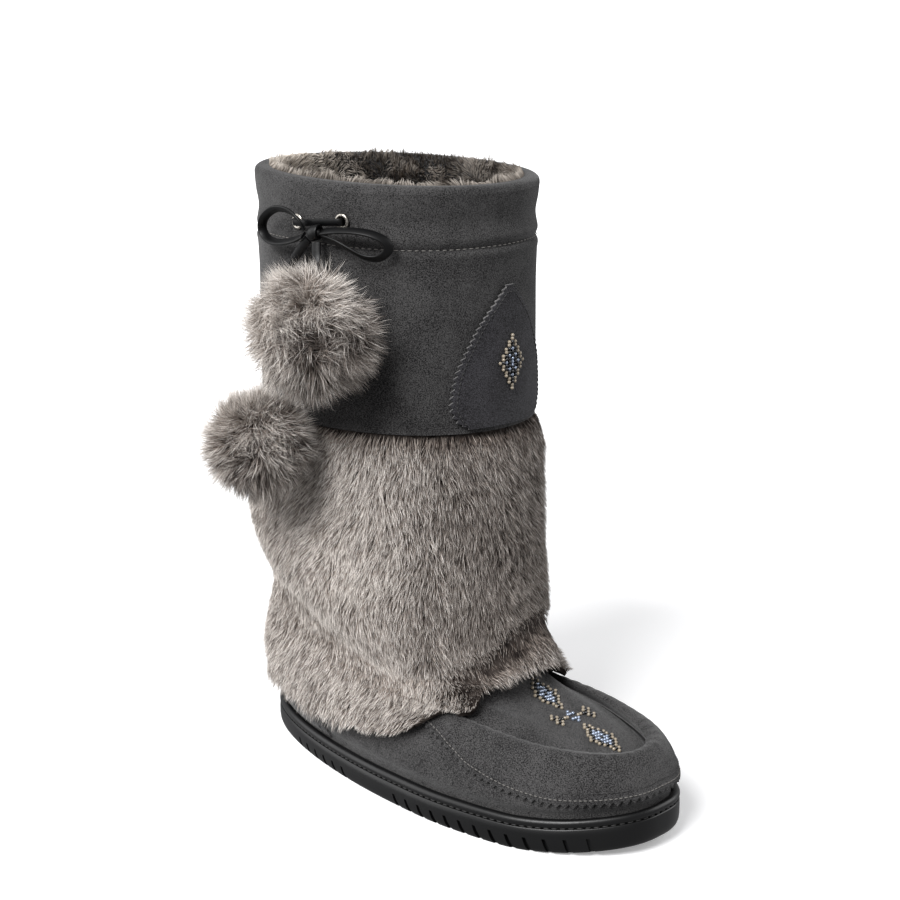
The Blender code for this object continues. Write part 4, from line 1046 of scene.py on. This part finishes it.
def foot_relief(phi, v):
    """Soft fold of the vamp: the gathered seam around the plug."""
    return -2.6 * MM * forefoot(phi) * bump(v, PLUG_CREASE + 0.04, 0.17)


def make_upper():
    """Suede upper with its shearling side inwards."""
    count = 144
    phi = around(count)[None, :]
    rows = np.concatenate([np.linspace(0, 5.3, 20), np.linspace(5.4, 6.4, 18), np.linspace(6.6, 12, 18),
                           np.linspace(12.6, COLLAR_V, 8)])[:, None]
    outer = upper_offset(phi, rows, foot_relief(phi, rows))
    inner = upper_offset(phi, rows, -WALL)
    wool = 0.9 * MM * cloud(inner, 5 * MM, 21) + 0.5 * MM * cloud(inner, 2.2 * MM, 22)
    wool[0] = 0
    wool[-3:] = 0
    inner = inner - upper_normal(phi, rows) * np.abs(wool)[..., None]
    piece = shell("suede_upper", outer, inner, SUEDE, sharp=50)
    # Painted shade: the suede is darkened in the crease round the plug
    set_field(piece, "fold", 0.9 * forefoot(phi) * bump(rows, PLUG_CREASE + 0.1, 0.34))
    piece.data.materials.append(WOOL)
    quads = (rows.size - 1) * count
    index = np.zeros(len(piece.data.polygons), np.int32)
    index[quads:2 * quads] = 1
    piece.data.polygons.foreach_set("material_index", index)
    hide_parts("upper")
    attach(piece, "root")
    bead_plug(piece)


def even_columns(phi_range, low, count):
    """Angles spaced evenly along an edge line on the upper."""
    phi = np.linspace(*phi_range, 400)
    run = run_of(upper_surface(phi, low(phi)))
    return np.interp(np.linspace(0, run[-1], count), run, phi), run[-1]


def teeth(run, pitch):
    """Zigzag from 0 to 1 along an edge."""
    share = (run / pitch) % 1
    return 1 - np.abs(2 * share - 1)


TOOTH_PITCH, TOOTH_DEEP = 4.2 * MM, 2.1 * MM


def make_apron():
    """Gathered suede apron around the toe: pinked lower edge, two rows of stitches, puckers above."""
    reach = math.radians(APRON_REACH)

    def low_v(phi):
        return smooth_table(APRON_EDGE["deg"], APRON_EDGE["row"], np.abs(degrees_of(phi)))

    length = even_columns((-reach, reach), low_v, 10)[1]
    number = int(length / TOOTH_PITCH)
    phi, length = even_columns((-reach, reach), low_v, number * 4 + 1)
    run = np.linspace(0, length, phi.size)
    low = low_v(phi)
    top = np.full(phi.shape, PLUG_CREASE)
    per_v = np.linalg.norm(upper_surface(phi, low + 0.05) - upper_surface(phi, low - 0.05), axis=-1) / 0.1
    notch = teeth(run, length / number) * TOOTH_DEEP / per_v
    share = np.concatenate([np.linspace(0, 0.3, 10), np.linspace(0.36, 0.84, 9),
                            np.linspace(0.87, 1, 11)])[:, None]
    v = low + notch * np.clip(1 - share / 0.12, 0, 1) + (top - low) * share
    toe = np.exp(-(phi / math.radians(62)) ** 4)
    pucker = (0.55 + 0.45 * cloud(np.stack([run, run * 0, run * 0], -1), 26 * MM, 8)) * np.sin(
        2 * math.pi * run / (8.6 * MM) + 1.5 * cloud(np.stack([run, run * 0 + 3, run * 0], -1), 19 * MM, 9))
    band = smooth_table((0, 0.22, 0.5, 0.8, 1.0), (0, 0.15, 0.8, 1.0, 0.5), share)
    rise = 0.75 * MM * pucker * toe * band
    rise = rise + 0.35 * MM * np.exp(-((share - 0.10) / 0.05) ** 2)
    rise = rise + 2.1 * MM * np.exp(-((share - 0.90) / 0.20) ** 2)
    tuck = -3.6 * MM * np.clip((share - 0.93) / 0.07, 0, 1) ** 1.5
    outer = upper_offset(phi[None, :], v, 2 * GAP + OVERLAY_T + rise + tuck)
    inner = upper_offset(phi[None, :], v, 2 * GAP + tuck * 0.6)
    piece = shell("apron_panel", outer, inner, SUEDE, closed=False, sharp=45, edge=SUEDE_EDGE)
    for face in list(piece.data.polygons)[-2 * (share.size - 1):]:
        face.material_index = 0
    # Painted shade: the suede is darkened where its top edge tucks into the crease, in a thin line above the
    # pinked edge and in the troughs of the puckers
    set_field(piece, "fold", (0.9 * np.clip((share - 0.95) / 0.05, 0, 1) + 0.3 * bump(share, 0.13, 0.03)
                              + 0.25 * np.clip(-pucker, 0, 1) * toe * bump(share, 0.24, 0.08)))
    faces_out(piece)
    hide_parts("apron")
    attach(piece, "root")
    for name, above, thread in (("apron_stitches_low", 3.4 * MM, THREAD),
                                ("apron_stitches_high", 6.1 * MM, THREAD_DARK)):
        at = low + above / per_v + TOOTH_DEEP * 0.2 / per_v
        surface = upper_offset(phi, at, 2 * GAP + OVERLAY_T + 0.2 * MM)
        make_stitches(name, surface, upper_normal(phi, at), thread)


def make_counter():
    """Heel counter: a suede panel around the heel, stitched along its front edges."""
    columns, rows = 90, 24
    v = np.linspace(ROW["bead"] + 0.05, COUNTER_TOP, rows)[:, None]
    up = (v - v[0]) / (v[-1] - v[0])
    seam = np.radians(mix(COUNTER_SEAM[0], COUNTER_SEAM[1], up))
    phi = seam + (2 * math.pi - 2 * seam) * np.linspace(0, 1, columns)[None, :]
    v = np.broadcast_to(v, phi.shape)
    edge = np.minimum(np.arange(columns), np.arange(columns)[::-1])[None, :]
    thin = -0.5 * MM * np.exp(-edge / 0.7)
    outer = upper_offset(phi, v, 2 * GAP + OVERLAY_T + thin)
    piece = shell("counter_panel", outer, upper_offset(phi, v, 2 * GAP), SUEDE, closed=False, sharp=45)
    faces_out(piece)
    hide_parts("heel_counter")
    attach(piece, "root")
    for side, column in (("outer", -3), ("inner", 2)):
        line, normal = outer[:, column], upper_normal(phi[:, column], v[:, column])
        make_stitches("counter_stitches_" + side, line + normal * 0.15 * MM, normal, THREAD_DARK)


CUFF_FOLD_Z = 291.2 * MM
HEM_SEAM_Z = CUFF_BASE + 3.6 * MM


def cuff_point(phi, t, extra=0.0):
    """Place on the cuff's profile; t counts the rows of its table."""
    rows = np.arange(len(CUFF["out"]))
    phi, t = spread(phi, t)
    share, through, side, roll = (smooth_table(rows, CUFF[name], t) for name in
                                  ("out", "through", "side", "roll"))
    out = GAP + share * CUFF_T - through * (WALL + 2 * GAP) + extra
    height = CUFF_BASE + side * CUFF_H
    v = np.where(side > 0.9995, COLLAR_V, section_at(phi, height))
    return upper_offset(phi, v, out) + np.stack([roll * 0, roll * 0, roll * ROLL_T], -1)


# Soft upright waves of the cuff: place round it, lean over its height, half width, height above it
CUFF_WAVES = {"deg": (-108, -52, -36, 6, 64, 118, 160), "lean": (8, 10, 6, -6, -8, 10, -6),
              "half": (9, 6, 5, 6, 9, 11, 9), "mm": (0.6, -0.5, 0.8, -0.5, 0.6, 0.7, -0.6)}


def fold_line(phi):
    """Height of the sewn fold, which wanders a little."""
    return CUFF_FOLD_Z + 0.48 * MM * np.sin(phi * 3 + 0.7)


def cuff_waves(phi, z):
    """How far the waves lift the cuff's face."""
    up = (z - CUFF_BASE) / CUFF_H
    total = 0 * z
    for deg, lean, half, rise in zip(*CUFF_WAVES.values()):
        total = total + rise * MM * bump(degrees_of(phi), deg + lean * (up - 0.5), half)
    return total * np.clip((0.9 - up) * 4, 0, 1)


def make_cuff():
    """Suede cuff turned over the collar, with a sewn fold under the drawstring."""
    count = 160
    phi = around(count)[None, :]
    t = np.concatenate([[0.0, 0.35, 0.7, 0.9], np.linspace(1, 3, 16), np.linspace(3.1, 8.9, 42),
                        np.linspace(9, 16, 34)])[:, None]
    plain = cuff_point(phi, t)
    z = plain[..., 2]
    face = np.clip((t - 0.8) * 2, 0, 1) * np.clip((9.5 - t) * 2, 0, 1)
    fold = fold_line(phi)
    relief = (-0.6 * MM * bump(z, fold, 1.0 * MM) + 0.5 * MM * bump(z, fold - 3.2 * MM, 2.2 * MM)
              + 0.45 * MM * bump(z, fold + 3.4 * MM, 2.4 * MM)
              - 0.35 * MM * bump(z, HEM_SEAM_Z, 0.9 * MM)
              + 0.5 * MM * cloud(plain * np.array([1, 1, 0.55]), 34 * MM, 31) + cuff_waves(phi, z)
              + 0.22 * MM * cloud(plain * np.array([1, 1, 0.4]), 12 * MM, 32))
    outer = cuff_point(phi, t, relief * face)
    turned_in = np.array([0, 0, 0.1 * ROLL_T])
    back = [upper_offset(phi[0], COLLAR_V, GAP) + turned_in,
            upper_offset(phi[0], section_at(phi[0], CUFF_BASE), GAP)]
    inside = upper_offset(phi[0], COLLAR_V, GAP - (WALL + 2 * GAP)) + turned_in
    rings = np.concatenate([outer, [inside], back])
    rows = rings.shape[0]
    cuff = add_piece("suede_cuff", rings, ring_faces(rows, count), SUEDE, 45)
    # Painted shade: the suede is darkened in the trough of the sewn fold and along the hem seam
    set_field(cuff, "fold", face * (0.4 * bump(z, fold, 0.9 * MM)
                                    + 0.6 * bump(z, HEM_SEAM_Z, 0.8 * MM)))
    faces_out(cuff)
    cutters = []
    for deg, up in EYELETS.values():
        seat, normal = eyelet_seat(deg, up)
        a, b = side_vectors(normal)
        verts = [seat + normal * h + (a * math.cos(s) + b * math.sin(s)) * 2.7 * MM
                 for h in (-3.2 * MM, 3 * MM) for s in around(24)]
        hole = add_piece("hole", verts, tube_faces(2, 24), SUEDE)
        faces_out(hole)
        cutters.append(hole)
    cut_away(cuff, cutters)
    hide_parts("cuff")
    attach(cuff, "root")

    turn = around(720)
    v = section_at(turn, fold_line(turn))
    line = upper_offset(turn, v, GAP + 0.97 * CUFF_T - 0.35 * MM)
    make_stitches("cuff_fold_stitches", line, upper_normal(turn, v), THREAD, True)
    v = section_at(turn, HEM_SEAM_Z)
    line = upper_offset(turn, v, GAP + 1.0 * CUFF_T - 0.2 * MM)
    make_stitches("cuff_hem_stitches", line, upper_normal(turn, v), THREAD_DARK, True)


def cuff_place(across, height, out):
    """Point on the front of the cuff, from its distance sideways, and the direction out."""
    across, height, out = spread(across, height, out)
    phi = np.arcsin(across / (SHAFT_W / 2 + 4 * MM))
    v = section_at(phi, height)
    return upper_offset(phi, v, out), upper_normal(phi, v)


def patch_half(up):
    """Half width of the patch at a share of its height."""
    return smooth_table(PATCH["up"], PATCH["half"], up) * PATCH_W / 2


def make_patch():
    """Suede patch on the front of the cuff, cut with pinking shears, and its beadwork."""
    base = CUFF_BASE + 1.0 * MM
    rows, cols = 200, 18
    up = np.linspace(PATCH["up"][0], 0.98, rows)
    half = patch_half(up)
    run = run_of(np.stack([half, up * PATCH_H, up * 0], -1))
    number = int(run[-1] / (3.3 * MM))
    half = half - 1.8 * MM * teeth(run, run[-1] / number) * np.clip(half / (4 * MM), 0, 1)
    share = np.linspace(-1, 1, cols)
    share = np.sign(share) * (1 - (1 - np.abs(share)) ** 1.25)
    across = half[:, None] * share[None, :]
    height = np.broadcast_to((base + up * PATCH_H)[:, None], across.shape)
    rim = np.exp(-(half[:, None] - np.abs(across)) / (0.8 * MM))
    outer = cuff_place(across, height, FACE_OUT + GAP + PATCH_T - 0.3 * MM * rim)[0]
    inner = cuff_place(across, height, np.full(across.shape, FACE_OUT + GAP))[0]
    piece = shell("patch_panel", outer, inner, SUEDE_DARK, closed=False, sharp=50, edge=SUEDE_EDGE)
    faces_out(piece)
    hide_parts("cuff_patch")
    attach(piece, "root")
    inset = 3.4 * MM
    rising = np.linspace(0.05, 0.93, 120)
    side = np.clip(patch_half(rising) - inset, 0.2 * MM, None)
    sides = np.concatenate([-side, side[::-1]])
    heights = base + np.concatenate([rising, rising[::-1]]) * PATCH_H
    line, normal = cuff_place(sides, heights, FACE_OUT + GAP + PATCH_T + 0.1 * MM)
    make_stitches("patch_stitches", line, normal, THREAD_DARK)
    bead_patch()


BEAD_PITCH, BEAD_ROW = 1.75 * MM, 1.75 * 0.97 * MM
PATCH_BEADS_Z = 232.4 * MM
def mirrored(rows, width):
    """A bead chart from its upper half, with its middle row last."""
    rows = [row.center(width) for row in rows]
    return rows + rows[-2::-1]


# Beadwork, one letter a bead: taupe, black (k) and blue
PATCH_CHART = mirrored(("t", "t", "tkt", "tkt", "tkbkt", "tkkkt", "tkbkbkt", "tkkbkkt", "tkbkbkbkt"), 9)
PLUG_DIAMOND = mirrored(("t", "tkt", "tkt", "tkbkt", "tkbbbkt", "tkbbbkt", "tkbbkbbkt"), 17)
PLUG_CROSS = mirrored((" ", "t     b     t", "tkt   bbb   tkt", "tkktt   ttkkt"), 17)
PLUG_CHART = PLUG_DIAMOND + PLUG_CROSS + PLUG_DIAMOND


def make_beads(name, chart, place):
    """Glass beads sewn down by a chart; place gives the point and the direction out for a bead."""
    round_places, round_faces = ball(2)
    round_faces = np.array(round_faces)
    rng = np.random.default_rng(len(chart))
    for letter, glass in BEADS.items():
        verts, faces = [], []
        for row, line in enumerate(chart):
            for col, found in enumerate(line):
                if found != letter:
                    continue
                nudge = rng.uniform(-0.1, 0.1, 2) * MM
                found_at = place((col - (len(line) - 1) / 2) * BEAD_PITCH + nudge[0],
                                 ((len(chart) - 1) / 2 - row) * BEAD_ROW + nudge[1])
                if found_at is None:
                    continue
                point, out, side = found_at
                up = np.cross(out, side)
                size = BEAD_PITCH * rng.uniform(0.53, 0.59)
                faces += (round_faces + len(verts)).tolist()
                a, b, c = (round_places[:, k:k + 1] for k in range(3))
                verts += list(point + out * size * 0.75 + (a * side * 0.9 + b * up + c * out) * size)
        beads = add_piece(f"{name}_{glass.name.split()[0]}", verts, faces, glass, 0)
        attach(beads, "root")


def bead_patch():
    def place(across, along):
        point, normal = cuff_place(np.array([across + 0.5 * MM]), np.array([PATCH_BEADS_Z + along]),
                                   np.array([FACE_OUT + GAP + PATCH_T]))
        side = unit(np.cross(UP, normal[0]))
        return point[0], normal[0], side

    make_beads("patch_beads", PATCH_CHART, place)


def bead_plug(upper):
    """Beads on the plug, from the fur towards the toe."""
    tree = BVHTree.FromPolygons([v.co for v in upper.data.vertices],
                                [p.vertices for p in upper.data.polygons])
    start, end = np.array([85.5, 12.0]) * MM, np.array([157.0, -0.3]) * MM
    middle, run = (start + end) / 2, unit(end - start)
    across_run = np.array([-run[1], run[0]])
    stretch = np.linalg.norm(end - start) / ((len(PLUG_CHART) - 1) * BEAD_ROW)

    def place(across, along):
        spot = middle - run * along * stretch + across_run * across
        hit, normal = tree.ray_cast(Vector((*spot, 0.2)), Vector((0, 0, -1)))[:2]
        if hit is None:
            return None
        normal = np.array(normal)
        side = unit(np.cross(np.array([*run, 0.0]), normal))
        return np.array(hit), normal, side

    make_beads("plug_beads", PLUG_CHART, place)


SKIN_HEM = {"deg": (-180, -130, -100, -90, -82, -76, -70, -64, -58, -52, -45, -30, -16, 0, 16, 30, 45, 58,
                    64, 70, 76, 82, 90, 100, 130, 180),
            "row": (2.75, 2.9, 3.2, 3.45, 4.0, 4.9, 5.9, 6.8, 7.4, 7.9, 8.4, 9.15, 9.85, 10.15, 9.95, 9.3,
                    8.5, 7.5, 6.8, 5.8, 4.75, 4.0, 3.55, 3.3, 2.95, 2.75)}
CREASE = {"deg": (-180, -120, -85, -60, -40, -25, -10, 0, 12, 24, 36, 60, 90, 130, 180),
          "z": (80, 76, 66, 60, 66, 72, 80, 86, 89, 86, 82, 78, 78, 78, 80)}
ZONE_DEG = (-180, -150, -120, -95, -75, -55, -40, -25, -10, 10, 28, 45, 70, 100, 140, 180)
ZONE_HIGH = (0.50, 0.50, 0.60, 0.84, 1.00, 0.80, 0.34, 0.14, 0.04, 0.0, 0.08, 0.34, 0.6, 0.5, 0.45, 0.50)
ZONE_LOW = (0.5, 0.5, 0.6, 0.76, 0.97, 0.95, 0.72, 0.42, 0.30, 0.30, 0.4, 0.5, 0.5, 0.5, 0.5, 0.5)


def pile(phi, height):
    """Thickness of the fur, as in the part's source."""
    up = height / CUFF_BASE
    front = (1 + np.cos(phi)) / 2
    return FUR_T * mix(smooth_table(PILE["up"], PILE["back"], up),
                       smooth_table(PILE["up"], PILE["front"], up), front)


def make_fur():
    """Rabbit fur sleeve: the pelt, and its hair in three pieces from the hem to the cuff."""
    # Where the pelt runs, from its hem to the cuff, and how thick the fur is there
    phi = around(120)[None, :]
    low = smooth_table(SKIN_HEM["deg"], SKIN_HEM["row"], degrees_of(phi))
    top = section_at(phi, CUFF_BASE - 2 * GAP)
    bend = ROW["fold"]
    v = np.concatenate([low + (bend - low) * np.linspace(0, 1, 34)[:, None],
                        bend + (top - bend) * np.linspace(0, 1, 34)[1:, None]])
    height = upper_surface(phi, v)[..., 2]
    share = np.linspace(0, 1, v.shape[0])[:, None]
    room = mix(OVERLAY_T + 11 * GAP, 2 * GAP, np.clip((v - bend) / 2, 0, 1))
    thick = np.maximum(pile(phi, height), mix(FUR_HEM_T, 0.0, np.clip(share * 6, 0, 1)))
    thick = softened_field(thick)
    room = softened_field(room + 0 * thick, 14)
    under = upper_offset(phi, v, room)
    away = softened(upper_offset(phi, v, 1.0) - upper_offset(phi, v, 0.0), 12)
    # The crease over the ankle and the ruff that bulges below it
    deg = degrees_of(phi) + 0 * v
    crease = smooth_table(CREASE["deg"], CREASE["z"], deg) * MM
    front = np.clip((75 - np.abs(deg)) / 35, 0, 1)
    trough = bump(height, crease, 5.5 * MM)
    ruff = bump(height, crease - 13 * MM, 9 * MM) * front
    inner_hem = np.clip(share * 9, 0, 1)
    skin_out = np.maximum(mix(0.28, 0.75, ruff) * thick, 0.8 * MM) + 3.6 * MM * ruff * inner_hem
    skin_out = softened_field(skin_out, 3)
    skin = under + away * skin_out[..., None]
    pelt = shell("pelt", skin, under, PELT, sharp=60)
    faces_out(pelt)
    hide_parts("fur_shaft")
    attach(pelt, "root")

    # Which way the hair falls, how pale it is and how far it reaches
    down = unit(-np.gradient(skin, axis=0))
    down = 0.35 * down - UP
    down = softened(down - away * np.sum(down * away, -1, keepdims=True), 12)
    sideways = np.cross(away, down)
    high_zone = np.interp(deg, ZONE_DEG, ZONE_HIGH)
    low_zone = np.interp(deg, ZONE_DEG, ZONE_LOW)
    zone = mix(low_zone, high_zone, np.clip((height - crease) / (14 * MM), 0, 1))
    # Painted shade: hairs in the crease are made much darker where the upper fur overhangs the ruff, and the
    # ruff's hairs a little darker
    zone = zone - 1.3 * trough * front - 0.05 * ruff
    reach = mix(0.72, 0.25, ruff) * thick + 2.4 * MM - 2.2 * MM * trough * front + 1.2 * MM * ruff
    shorter = 1 - 0.62 * front * bump(height, crease + 6 * MM, 8 * MM)
    thin = 1 - 0.9 * front * bump(height, crease - 0.5 * MM, 5 * MM)
    hem = np.clip(1 - share * 9, 0, 1) + 0 * deg
    parts = (("fur_hem", 0.0, 0.36, 50000, 51), ("fur_middle", 0.34, 0.70, 52000, 52),
             ("fur_top", 0.68, 1.01, 48000, 53))
    for name, start, end, number, seed in parts:
        rows = slice(int(start * v.shape[0]), int(end * v.shape[0]) + 1)
        fields = [f[rows] for f in (skin, away, down, sideways, reach, zone, hem, ruff, shorter)]
        at, out, fall, side, tall, tone, hemmed, ruffed, cut_short = scatter(fields, number, seed,
                                                                             thin[rows])
        angle = degrees_of(np.arctan2(at[:, 1], at[:, 0]))
        up = at[:, 2]
        rng = np.random.default_rng(seed + 100)
        curl = cloud(at, 26 * MM, 61) + 0.6 * cloud(at, 12 * MM, 62)
        sweep = np.where(up > 110 * MM, 0.25 * bump(angle, -95, 40), 0.0)
        clump = cloud(at, 2.8 * MM, 63)
        clump_up = cloud(at, 4.0 * MM, 64)
        length = (11.5 * MM + 2 * MM * cloud(at, 9 * MM, 65)) * rng.uniform(0.65, 1.15, number)
        ahead = np.clip((84 - np.abs(angle)) / 20, 0, 1)
        length *= mix(1.0, mix(0.85, 0.5, ahead), hemmed) * mix(1.0, 0.75, ruffed) * cut_short
        steep = np.clip(tall / (0.75 * length), 0.12, 0.93)
        lean = np.arcsin(steep)
        lay = unit(fall + side * (0.42 * curl + 0.38 * clump - sweep + rng.normal(0, 0.16, number))[:, None]
                   + (-UP + out * out[:, 2:3]) * (hemmed * (0.8 + ahead))[:, None])
        lift_to = lay * np.cos(lean)[:, None] + out * np.sin(lean)[:, None]
        flat = lean * 0.45 + 0.22 * clump_up + rng.normal(0, 0.12, number)
        side_turn = side * (0.35 * cloud(at, 4 * MM, 66))[:, None]
        lay_to = unit(lay + side_turn) * np.cos(flat)[:, None] + out * np.sin(flat)[:, None]
        tone = tone + 0.10 * cloud(at, 15 * MM, 67) + 0.08 * clump
        hair_piece(name, at, lift_to, lay_to, length, SHAFT_HAIR_W, peppered(tone, rng), seed + 200,
                   FUR)


def softened_field(values, times=6):
    """Numbers or directions averaged with those beside, above and below them."""
    for _ in range(times):
        beside = (np.roll(values, 1, 1) + np.roll(values, -1, 1)) / 2
        above = np.concatenate([values[:1], (values[:-2] + values[2:]) / 2, values[-1:]])
        values = values / 2 + beside / 4 + above / 4
    return values


def make_lining():
    """Shearling ends inside the collar, standing a little above the rim."""
    phi = around(160)[None, :]
    rim = cuff_point(phi, np.linspace(12.4, 15.6, 10)[:, None])
    v = section_at(phi, np.linspace(306 * MM, 246 * MM, 20)[:, None])
    wall = upper_offset(phi, v, -WALL - 0.4 * MM)
    surface = np.concatenate([rim, wall])
    inward = unit(-surface * np.array([1, 1, 0]))
    rows = surface.shape[0]
    top = np.clip((surface[..., 2] - 300 * MM) / (20 * MM), 0, 1)
    out = softened(unit(inward + UP * (1.1 * top ** 2)[..., None]), 3)
    at, away = scatter([surface, out], LINING_HAIRS, 71, np.linspace(1.7, 0.35, rows)[:, None])
    rng = np.random.default_rng(72)
    angle = degrees_of(np.arctan2(at[:, 1], at[:, 0]))
    curl = drift(at, 3.2 * MM, 73)
    broad = drift(at, 9 * MM, 76)
    lift_to = unit(away + 0.45 * broad + 0.15 * curl + rng.normal(0, 0.08, (LINING_HAIRS, 3)))
    lay_to = unit(away * 0.8 + 0.8 * broad + 0.35 * curl + rng.normal(0, 0.12, (LINING_HAIRS, 3)))
    length = (4.6 * MM + 1.8 * MM * cloud(at, 8 * MM, 79)) * rng.uniform(0.9, 1.08, LINING_HAIRS)
    tone = np.interp(angle, (-180, -150, -120, -60, 0, 60, 90, 120, 150, 180),
                     (1.0, 1.0, 0.55, 0.4, 0.45, 0.42, 0.26, 0.10, 0.28, 1.0))
    tone = tone + 0.14 * cloud(at, 14 * MM, 80) + 0.16 * curl[:, 0] + rng.normal(0, 0.08, LINING_HAIRS)
    hair_piece("shearling_pile", at, lift_to, lay_to, length, LINING_HAIR_W, tone, 81, WOOL_HAIR)


set_stage()
make_eyelets()
make_pompom("pompom_front", "pompom_front", POMPOM_FRONT, POMPOM_FRONT_R, POMPOM_FRONT_HAIRS, 11,
            0.66)
make_pompom("pompom_back", "pompom_back", POMPOM_BACK, POMPOM_BACK_R, POMPOM_BACK_HAIRS, 37, 0.68)
make_lace()
make_sole()
make_footbed()
make_upper()
make_apron()
make_counter()
make_cuff()
make_patch()
make_fur()
make_lining()
